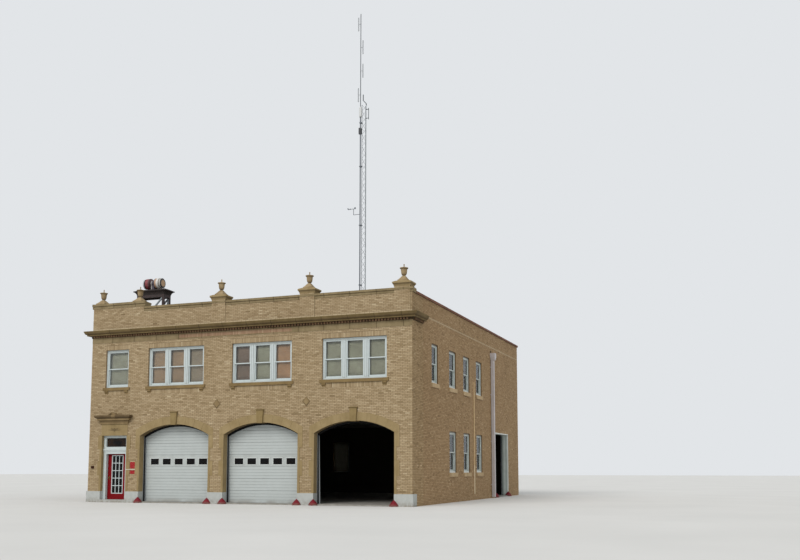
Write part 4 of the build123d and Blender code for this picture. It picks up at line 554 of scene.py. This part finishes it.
class Blocks:
    """Many small blocks standing out of a wall, gathered in one mesh."""

    def __init__(self, plane):
        self.at, self.flip = PLANES[plane]
        self.points, self.faces, self.tones = [], [], []

    def block(self, u0, z0, u1, z1, out, tone=0.5, base=0.0, edge=0.0):
        """A block from base to out; edge narrows its outer face."""
        n = len(self.points)
        for d, k in ((base, 0.0), (out, edge)):
            for u, z in ((u0 + k, z0 + k), (u1 - k, z0 + k), (u1 - k, z1 - k), (u0 + k, z1 - k)):
                self.points.append(self.at(u, z, d))
        quads = [(4, 5, 6, 7), (0, 1, 5, 4), (1, 2, 6, 5), (2, 3, 7, 6), (3, 0, 4, 7)]
        for quad in quads:
            quad = quad[::-1] if self.flip else quad
            self.faces.append(tuple(n + i for i in quad))
            self.tones.append(tone)

    def make(self, name, material, slot, body="building"):
        thing = piece(name, self.points, self.faces, material, body)
        tones = thing.data.attributes.new("tone", "FLOAT", "FACE")
        tones.data.foreach_set("value", self.tones)
        return thing


def brick_tone():
    """The tone of a brick, from dark to pale."""
    return min(1.0, max(0.0, rng.gauss(0.5, 0.15)))


def brick_out():
    """How far a brick stands out of the mortar."""
    return rng.uniform(0.003, 0.0052)


def cuts(low, high, holes):
    """The stretches of low to high that no hole covers."""
    out = [(low, high)]
    for a, b in holes:
        left_over = []
        for s, e in out:
            if b <= s or a >= e:
                left_over.append((s, e))
            else:
                if a > s:
                    left_over.append((s, a))
                if b < e:
                    left_over.append((b, e))
        out = left_over
    return out


def lay(wall, u0, u1, z0, z1, holes=(), bond="stretcher", base=0.0, start=PLINTH):
    """Running bond between two levels, with a header course in every sixth one where asked.
    A hole has the levels of its edges, and a function that gives the stretch it covers at a level,
    or nothing. Slivers of brick are left out."""
    least_h, least_w = 0.008, 0.02
    row = math.floor((z0 - start) / COURSE)
    while start + row * COURSE < z1 - 0.004:
        low = start + row * COURSE
        high = low + BRICK_H
        levels = sorted({max(low, z0), min(high, z1)} |
                        {e for h in holes for e in h["edges"] if max(low, z0) < e < min(high, z1)})
        header = bond == "common" and row % 6 == 5
        pitch = (BRICK_L + JOINT) / 2 if header else BRICK_L + JOINT
        shift = pitch / 2 if row % 2 else 0.0
        tones = {}
        for a, b in zip(levels, levels[1:]):
            if b - a < least_h:
                continue
            taken = [h["span"]((a + b) / 2, a) for h in holes]
            for s, e in cuts(u0, u1, [t for t in taken if t]):
                index = math.floor((s - u0 + shift) / pitch)
                while u0 - shift + index * pitch < e - 0.003:
                    left_u = u0 - shift + index * pitch
                    bu0, bu1 = max(left_u, s), min(left_u + pitch - JOINT, e)
                    if bu1 - bu0 > least_w:
                        if index not in tones:
                            tones[index] = (brick_tone(), brick_out())
                        tone, out = tones[index]
                        wall.block(bu0, a, bu1, b, base + out, tone, base)
                    index += 1
        row += 1


def soldiers(wall, u0, u1, z0, z1, base=0.0):
    """Bricks on end in one row."""
    count = max(1, round((u1 - u0 + JOINT) / COURSE))
    pitch = (u1 - u0 + JOINT) / count
    for i in range(count):
        a = u0 + i * pitch
        wall.block(a, z0, a + pitch - JOINT, z1, base + brick_out(), brick_tone(), base)


def box_hole(u0, z0, u1, z1):
    return {"edges": (z0, z1), "span": lambda z, a: (u0, u1) if z0 < z < z1 else None}


def bay_hole(x):
    """An arched bay; the bricks run on under its stone, to a little way from the opening."""
    margin, lift = 0.05, 0.03

    def span(z, a):
        if z < SPRING:
            return (x - BAY_HALF - margin, x + BAY_HALF + margin)
        rise = a - lift - CENTRE
        if rise < RADIUS:
            half = math.sqrt(RADIUS ** 2 - rise ** 2)
            return (x - half - margin, x + half + margin)
        return None
    return {"edges": (), "span": span}


# Front brickwork, with bricks on end over and under each window
SOLDIER = BRICK_L
HEAD_LAP, FOOT_INSET, FOOT_DROP = 0.05, 0.22, 0.145
front_holes = [bay_hole(x) for x in BAYS]
front_holes.append(box_hole(ENTRY - 0.72, 0.0, ENTRY + 0.72, 3.20))
for x, w, _ in WINDOWS:
    u0, u1, foot = x - w / 2, x + w / 2, SILL - FOOT_DROP
    front_holes.append(box_hole(u0, SILL - 0.1, u1, HEAD))
    front_holes.append(box_hole(u0 - HEAD_LAP, HEAD, u1 + HEAD_LAP, HEAD + SOLDIER + JOINT))
    front_holes.append(box_hole(u0 + FOOT_INSET, foot - SOLDIER - JOINT, u1 - FOOT_INSET, foot))
wall = Blocks("front")
lay(wall, LEFT - SKIN, RIGHT + SKIN, PLINTH, FRIEZE, front_holes)
for x, w, _ in WINDOWS:
    u0, u1, foot = x - w / 2, x + w / 2, SILL - FOOT_DROP - 0.003
    soldiers(wall, u0 - HEAD_LAP, u1 + HEAD_LAP, HEAD + SKIN, HEAD + SOLDIER + SKIN)
    soldiers(wall, u0 + FOOT_INSET + 0.005, u1 - FOOT_INSET - 0.005, foot - SOLDIER, foot)
lay(wall, LEFT - SKIN, RAISED_END, CORNICE_TOP, RAISED_PARAPET)
lay(wall, RAISED_END, RIGHT + SKIN, CORNICE_TOP, PARAPET,
    [box_hole(x - DIE_HALF, 7.9, x + DIE_HALF, 8.9) for x in DIES])

# The dies stand forward of the parapet, with a skin of bricks of the palest tone on their flanks: painted
# light on the shaded flanks
DIE_OUT, FLANK, DIE_ROWS, DIE_FOOT = 0.04, 0.0035, 12, 8.056
for x in DIES:
    lay(wall, x - DIE_HALF, x + DIE_HALF, CORNICE_TOP, 9.13, base=DIE_OUT)
    for row in range(DIE_ROWS):
        z = DIE_FOOT + row * COURSE
        for u in (x - DIE_HALF - FLANK, x + DIE_HALF):
            wall.block(u, z, u + FLANK, z + COURSE - 0.002, DIE_OUT - 0.0005, 1.0, 0.0005)
wall.make("front_bricks", face_brick, "face_brick")
panel = Blocks("front")
soldiers(panel, LEFT + 4.845, LEFT + 10.595, 7.505, 7.66, base=0.005)
panel.make("frieze_bricks", panel_brick, "face_brick")

# Side and rear brickwork: windows as (middle, width, sill, head), and the side opening
SIDE_W, LOWER, UPPER = 1.06, (1.365, 3.270), (5.290, 7.040)
SIDE_YS = [FRONT + 5.580 + i * 2.272 for i in range(5)]
side_windows = [(y, SIDE_W, *LOWER) for y in SIDE_YS[:3]]
side_windows += [(FRONT + 2.950, 0.88, *UPPER)] + [(y, SIDE_W, *UPPER) for y in SIDE_YS[:3]]
WALL_WINDOWS = {
    "right": side_windows,
    "left": side_windows + [(SIDE_YS[4], SIDE_W, *storey) for storey in (LOWER, UPPER)],
    "rear": [(x, SIDE_W, *storey) for storey in (LOWER, UPPER) for x, _, _ in WINDOWS]}
SIDE_BAY = FRONT + 14.740
OPEN_Y0, OPEN_Y1, OPEN_TOP = SIDE_BAY - 1.395, SIDE_BAY + 1.395, 3.480
OUTLET_Y, OUTLET_HALF = FRONT + 12.56, 0.1
FACE_RETURN = FRONT + 1.385
SIDE_LAP, OPEN_LAP = 0.03, 0.05


def window_holes(windows):
    """Each window's opening, with the row of bricks on end over it."""
    holes = []
    for u, w, sill, head in windows:
        u0, u1 = u - w / 2, u + w / 2
        holes.append(box_hole(u0, sill - 0.05, u1, head))
        holes.append(box_hole(u0 - SIDE_LAP, head, u1 + SIDE_LAP, head + SOLDIER + JOINT))
    return holes


def heads(wall, windows):
    """A row of bricks on end over each window."""
    for u, w, _, head in windows:
        u0, u1 = u - w / 2, u + w / 2
        soldiers(wall, u0 - SIDE_LAP, u1 + SIDE_LAP, head + SKIN, head + SOLDIER + SKIN)


wall_holes = {name: window_holes(windows) for name, windows in WALL_WINDOWS.items()}
wall_holes["right"] += [
    box_hole(OPEN_Y0, 0.0, OPEN_Y1, OPEN_TOP),
    box_hole(OPEN_Y0 - OPEN_LAP, OPEN_TOP, OPEN_Y1 + OPEN_LAP, OPEN_TOP + SOLDIER + JOINT),
    box_hole(OUTLET_Y - OUTLET_HALF, 7.80, OUTLET_Y + OUTLET_HALF, 7.91)]
for name in ("right", "left"):
    wall = Blocks(name)
    lay(wall, FRONT, FACE_RETURN - JOINT, 0.0, PARAPET, wall_holes[name])
    wall.make(name + "_face_bricks", return_brick, "face_brick")
    wall = Blocks(name)
    lay(wall, FACE_RETURN, REAR + SKIN, 0.0, PARAPET, wall_holes[name], bond="common")
    heads(wall, WALL_WINDOWS[name])
    if name == "right":
        soldiers(wall, OPEN_Y0 - OPEN_LAP, OPEN_Y1 + OPEN_LAP, OPEN_TOP + SKIN, OPEN_TOP + SOLDIER + SKIN)
    wall.make(name + "_bricks", side_brick, "common_brick")
wall = Blocks("rear")
lay(wall, LEFT, RIGHT, 0.0, PARAPET, wall_holes["rear"], bond="common")
heads(wall, WALL_WINDOWS["rear"])
wall.make("rear_bricks", side_brick, "common_brick")


# Shades behind the windows
def shade(points, faces, at, flip, u0, u1, z0, z1, depth, seed):
    """A roller shade that hangs with a shallow wave, its hem bar at the foot."""
    n = len(points)
    columns, rows = 7, 6
    wave = random.Random(seed)
    bend = wave.uniform(-0.006, 0.006)
    for side in (0.0, 0.0012):
        for j in range(rows):
            for i in range(columns):
                s, t = i / (columns - 1), j / (rows - 1)
                sway = bend * math.sin(math.pi * s) * (1 - t) + 0.0025 * math.sin(5 * s + seed)
                thick = 0.006 if j == 0 else 0.0
                points.append(at(u0 + (u1 - u0) * s, z0 + (z1 - z0) * t,
                                 -(depth + sway + side + (thick if side else -thick))))
    block = columns * rows
    for j in range(rows - 1):
        for i in range(columns - 1):
            a = n + j * columns + i
            quad = (a, a + 1, a + columns + 1, a + columns)
            back = tuple(v + block for v in quad)[::-1]
            faces.append(quad[::-1] if flip else quad)
            faces.append(back[::-1] if flip else back)
    rim = [n + i for i in range(columns)] + [n + j * columns + columns - 1 for j in range(1, rows)]
    rim += [n + (rows - 1) * columns + i for i in range(columns - 2, -1, -1)]
    rim += [n + j * columns for j in range(rows - 2, 0, -1)]
    for a, b in zip(rim, rim[1:] + rim[:1]):
        quad = (b, a, a + block, b + block)
        faces.append(quad[::-1] if flip else quad)


def lights_of(x, w, lights):
    """The left edges of a front window's lights, and their width."""
    light_w = (w - 2 * FRAME_W - (lights - 1) * POST_W) / lights
    return [x - w / 2 + FRAME_W + i * (light_w + POST_W) for i in range(lights)], light_w


SHADE_COLOURS = {"grey": rgb(190, 187, 169), "brown": rgb(202, 168, 138), "dark": rgb(158, 134, 120),
                 "orange": rgb(218, 172, 136), "stone": rgb(190, 171, 151)}
SHADES = {key: shade_material("shade_" + key, colour) for key, colour in SHADE_COLOURS.items()}
FRONT_SHADES = [["grey"], ["brown", "brown", "stone"], ["dark", "grey", "orange"], ["grey", "grey", "grey"]]
SHADE_DEPTH, MARGIN = 0.262, 0.03
made = {key: ([], []) for key in SHADES}
for number, (window, keys) in enumerate(zip(WINDOWS, FRONT_SHADES)):
    edges, light_w = lights_of(*window)
    for i, (u0, key) in enumerate(zip(edges, keys)):
        shade(*made[key], *PLANES["front"], u0 - MARGIN, u0 + light_w + MARGIN, SILL + MARGIN, HEAD - MARGIN,
              SHADE_DEPTH, 10 * number + i)
for plane, windows in WALL_WINDOWS.items():
    for number, (u, w, sill, head) in enumerate(windows):
        key = "dark" if plane == "right" and sill == LOWER[0] else "grey"
        shade(*made[key], *PLANES[plane], u - w / 2 + 0.05, u + w / 2 - 0.05, sill + MARGIN, head - MARGIN,
              SHADE_DEPTH, 50 + number)
for key, (points, faces) in made.items():
    piece("shades_" + key, points, faces, SHADES[key], smooth=True)

# Boards on the posts between the lights of the wide windows, with thin grey strips beside them painted as the
# shade in the grooves, and a bead round each window
BEAD, BEAD_FACE = 0.030, -0.082
boards, joints = Blocks("front"), Blocks("front")
for x, w, lights in WINDOWS:
    foot, top = SILL + 0.065, HEAD - 0.085
    for edge in lights_of(x, w, lights)[0][1:]:
        post = edge - POST_W / 2
        boards.block(post - 0.040, foot, post + 0.040, top, -0.086, 0.5, FRAME_FACE, 0.004)
        for side in (-0.056, 0.044):
            u0 = post + side
            joints.block(u0, foot, u0 + 0.012, top, FRAME_FACE + 0.0015, 0.5, FRAME_FACE - 0.0001, 0.0005)
    for u in (x - w / 2, x + w / 2 - BEAD):
        boards.block(u, SILL + 0.002, u + BEAD, HEAD, BEAD_FACE, 0.5, FRAME_FACE, 0.005)
    boards.block(x - w / 2, HEAD - BEAD, x + w / 2, HEAD, BEAD_FACE, 0.5, FRAME_FACE, 0.005)
boards.make("window_boards", white_wood, "white_wood")
joints.make("window_groove_shades", groove_shade_grey, "white_wood")

# Sectional doors: four ribs to a section, apart from the one with the lights, and rims round the lights
DOOR_FACE = -FRONT_WALL - 0.025
SECTION, LIGHT_SECTION, LIGHT_Z, LIGHT_PITCH = 0.53, 3, 1.873, 0.646
RIBS = ((0.010, 0.122), (0.138, 0.250), (0.266, 0.378), (0.394, 0.516))
RIM_U, RIM_V, PANE_U, PANE_V = 0.2475, 0.165, 0.2175, 0.135
RIM_BARS = ((-RIM_U, -RIM_V, RIM_U, -PANE_V), (-RIM_U, PANE_V, RIM_U, RIM_V),
            (-RIM_U, -PANE_V, -PANE_U, PANE_V), (PANE_U, -PANE_V, RIM_U, PANE_V))
rims = Blocks("front")
for number, x in enumerate(BAYS[:2], 1):
    ribs = Blocks("front")
    half = BAY_HALF + 0.05
    for section in range(7):
        if section == LIGHT_SECTION:
            continue
        z0 = 0.06 + section * SECTION
        for low, high in RIBS:
            ribs.block(x - half, z0 + low, x + half, z0 + high, DOOR_FACE + 0.004, 0.5, DOOR_FACE, 0.004)
    for i in range(5):
        light = x + (i - 2) * LIGHT_PITCH
        for u0, z0, u1, z1 in RIM_BARS:
            rims.block(light + u0, LIGHT_Z + z0, light + u1, LIGHT_Z + z1, DOOR_FACE + 0.014, 0.5,
                       DOOR_FACE, 0.004)
    ribs.make(f"door_ribs_{number}", door_white, "white_door")
rims.make("door_light_rims", rim_white, "white_door")


def ribbon(path, near, far, y0, y1):
    """A strip that follows a path of (x, z, inward x, inward z), from near to far inward of it."""
    points, faces = [], []
    for x, z, ix, iz in path:
        for offset, y in ((near, y0), (far, y0), (far, y1), (near, y1)):
            points.append((x + ix * offset, y, z + iz * offset))
    for i in range(len(path) - 1):
        a = 4 * i
        for k in range(4):
            faces.append((a + k, a + 4 + k, a + 4 + (k + 1) % 4, a + (k + 1) % 4))
    faces.append((0, 1, 2, 3))
    end = 4 * (len(path) - 1)
    faces.append((end + 3, end + 2, end + 1, end))
    return points, faces


def gather(name, parts, material):
    """Several meshes as one piece."""
    points, faces = [], []
    for part_points, part_faces in parts:
        n = len(points)
        points += part_points
        faces += [tuple(n + i for i in face) for face in part_faces]
    return piece(name, points, faces, material)


def bay_path(x):
    """Up the left jamb, over the arch and down the right jamb."""
    steps = 24
    path = [(x - BAY_HALF, FOOT, 1, 0)]
    start = math.asin(BAY_HALF / RADIUS)
    for i in range(steps + 1):
        angle = -start + 2 * start * i / steps
        path.append((x + RADIUS * math.sin(angle), CENTRE + RADIUS * math.cos(angle),
                     -math.sin(angle), -math.cos(angle)))
    path.append((x + BAY_HALF, FOOT, -1, 0))
    return path


# Rubber seals round the bays, between a narrow angle in front and a wider one behind
# Over the arch the black seal is made wider than on the jambs: part seal, part painted shade under the arch
ARCH_SEAL_AND_SHADE, JAMB_SEAL, NARROW, WIDE = 0.092, 0.074, 0.022, (0.092, 0.092, 0.125)
seals, angles = [], []
for x, wide in zip(BAYS, WIDE):
    path = bay_path(x)
    seals.append(ribbon(path[1:-1], 0.0, ARCH_SEAL_AND_SHADE, FRONT + 0.318, FRONT + 0.372))
    for jamb in (path[:2], path[-2:]):
        seals.append(ribbon(jamb, 0.0, JAMB_SEAL, FRONT + 0.3185, FRONT + 0.3715))
        angles.append(ribbon(jamb, 0.0, NARROW, FRONT + 0.300, FRONT + 0.3165))
        angles.append(ribbon(jamb, 0.0, wide, FRONT + 0.374, FRONT + 0.409))
gather("bay_seals", seals, rubber)
gather("bay_angles", angles, angle_grey)


def box(x0, y0, z0, x1, y1, z1):
    """Points and faces of a block given by two opposite corners."""
    points = [(x, y, z) for z in (z0, z1) for x, y in ((x0, y0), (x1, y0), (x1, y1), (x0, y1))]
    faces = [(3, 2, 1, 0), (4, 5, 6, 7), (0, 1, 5, 4), (1, 2, 6, 5), (2, 3, 7, 6), (3, 0, 4, 7)]
    return points, faces


# Sheet lining of the side opening: jambs and head with standing folds, and a lip on the wall's face
SHEET, FOLD, FOLDS = 0.006, 0.016, (0.05, 0.16, 0.27)
INSIDE, OUTSIDE, LIP = RIGHT - SIDE_WALL, RIGHT + SKIN, (RIGHT + 0.0055, RIGHT + 0.009)
LIP_SIDE, LIP_TOP = 0.045, OPEN_TOP + 0.040
sheets = []
for y, way in ((OPEN_Y0, 1), (OPEN_Y1, -1)):
    low, high = sorted((y, y + way * SHEET))
    sheets.append(box(INSIDE, low, FOOT, OUTSIDE, high, OPEN_TOP))
    low, high = sorted((y + way * SHEET, y + way * FOLD))
    for fold in FOLDS:
        sheets.append(box(INSIDE + fold, low, FOOT, INSIDE + fold + FOLD, high, OPEN_TOP - SHEET))
    low, high = sorted((y - way * LIP_SIDE, y + way * SHEET))
    sheets.append(box(LIP[0], low, FOOT, LIP[1], high, LIP_TOP))
sheets.append(box(INSIDE, OPEN_Y0, OPEN_TOP - SHEET, OUTSIDE, OPEN_Y1, OPEN_TOP))
for fold in FOLDS:
    u0 = INSIDE + fold
    sheets.append(box(u0, OPEN_Y0, OPEN_TOP - FOLD, u0 + FOLD, OPEN_Y1, OPEN_TOP - SHEET))
sheets.append(box(LIP[0], OPEN_Y0, OPEN_TOP - SHEET, LIP[1], OPEN_Y1, LIP_TOP))
gather("side_lining", sheets, sheet_grey)


def fitting(name, blocks, material, slot):
    """A small thing on the front, its blocks given from the left corner of the wall."""
    small = Blocks("front")
    for u0, z0, u1, z1, out, base, edge in blocks:
        small.block(LEFT + u0, z0, LEFT + u1, z1, out, 0.5, base, edge)
    small.make(name, material, slot)


# Plates, bar with the rivets of the plates, and key box by the entry
PLATE_U0, PLATE_U1, RIVET = 2.345, 2.645, 0.006
fitting("red_plates", [(PLATE_U0, 1.56, PLATE_U1, 1.86, 0.012, 0.0045, 0.003),
                       (PLATE_U0, 1.31, PLATE_U1, 1.47, 0.012, 0.0045, 0.003)], plate_red, "red_wood")
bar = [(2.115, 1.498, PLATE_U1, 1.530, 0.036, 0.004, 0.004)]
bar += [(u - RIVET, z - RIVET, u + RIVET, z + RIVET, 0.016, 0.011, 0.002)
        for u in (2.360, 2.630) for z in (1.575, 1.845, 1.325, 1.455)]
fitting("pale_bar", bar, pale_metal, "track_steel")
fitting("key_box", [(0.175, 1.56, 0.325, 1.68, 0.055, 0.0, 0.004),
                    (0.185, 1.57, 0.315, 1.67, 0.064, 0.055, 0.006),
                    (0.240, 1.61, 0.260, 1.63, 0.070, 0.064, 0.003)], key_metal, "dark_steel")

# Camera, fitted to the photograph: focal length and horizon in pixels, heading and tilt in radians
IMAGE_W, IMAGE_H, FOCAL, HORIZON = 800, 560, 910.84, 374.02
HEADING, TILT = 0.359578, 0.104395
camera_data = bpy.data.cameras.new("camera")
camera = bpy.data.objects.new("camera", camera_data)
bpy.context.scene.collection.objects.link(camera)
camera_data.sensor_width = 36.0
camera_data.lens = FOCAL / IMAGE_W * camera_data.sensor_width
camera_data.shift_y = (HORIZON - IMAGE_H / 2) / IMAGE_W
camera_data.clip_end = 400.0
camera.location = (20.7505, -44.4686, 1.5155)
forward = Vector((-math.sin(HEADING) * math.cos(TILT), math.cos(HEADING) * math.cos(TILT), math.sin(TILT)))
camera.rotation_mode = "QUATERNION"
camera.rotation_quaternion = forward.to_track_quat("-Z", "Y")
bpy.context.scene.camera = camera

bpy.context.scene.view_settings.view_transform = "Standard"

# Floor
FAR = 200
mesh = bpy.data.meshes.new("floor")
mesh.from_pydata([(-FAR, -FAR, 0), (FAR, -FAR, 0), (FAR, FAR, 0), (-FAR, FAR, 0)], [], [(0, 1, 2, 3)])
floor = bpy.data.objects.new("floor", mesh)
bpy.context.scene.collection.objects.link(floor)
n = Nodes("floor", roughness=0.9)
n.colour(n.mix(n.span(n.noise(0.2, 4.0), 0.3, 0.7), rgb(206, 205, 202), rgb(212, 211, 208)))
floor.data.materials.append(n.material)

# World: soft light, and an even pale backdrop where the camera, mirrors or glass see it
world = bpy.data.worlds.new("world")
world.use_nodes = True
tree = world.node_tree
light = tree.nodes["Background"]
light.inputs["Color"].default_value = (0.93, 0.97, 1.0, 1)
light.inputs["Strength"].default_value = 0.62
shown = tree.nodes.new("ShaderNodeBackground")
shown.inputs["Color"].default_value = rgb(226, 229, 232)
shown.inputs["Strength"].default_value = 1.0
rays = tree.nodes.new("ShaderNodeLightPath")
mix = tree.nodes.new("ShaderNodeMixShader")
seen = rays.outputs["Is Camera Ray"]
for kind in ("Is Glossy Ray", "Is Transmission Ray"):
    join = tree.nodes.new("ShaderNodeMath")
    join.operation = "ADD"
    join.use_clamp = True
    tree.links.new(seen, join.inputs[0])
    tree.links.new(rays.outputs[kind], join.inputs[1])
    seen = join.outputs[0]
tree.links.new(seen, mix.inputs[0])
tree.links.new(light.outputs[0], mix.inputs[1])
tree.links.new(shown.outputs[0], mix.inputs[2])
tree.links.new(mix.outputs[0], tree.nodes["World Output"].inputs[0])
bpy.context.scene.world = world

# Lamps as (name, strength, angle, turn in degrees)
for name, energy, angle, turn in (("key", 1.85, 0.6, (50, 0, -12)), ("fill", 0.45, 1.2, (58, 0, 60))):
    lamp = bpy.data.lights.new(name, "SUN")
    lamp.energy = energy
    lamp.angle = angle
    lamp.color = (1.0, 0.975, 0.94)
    thing = bpy.data.objects.new(name, lamp)
    thing.rotation_euler = Euler([math.radians(v) for v in turn])
    bpy.context.scene.collection.objects.link(thing)
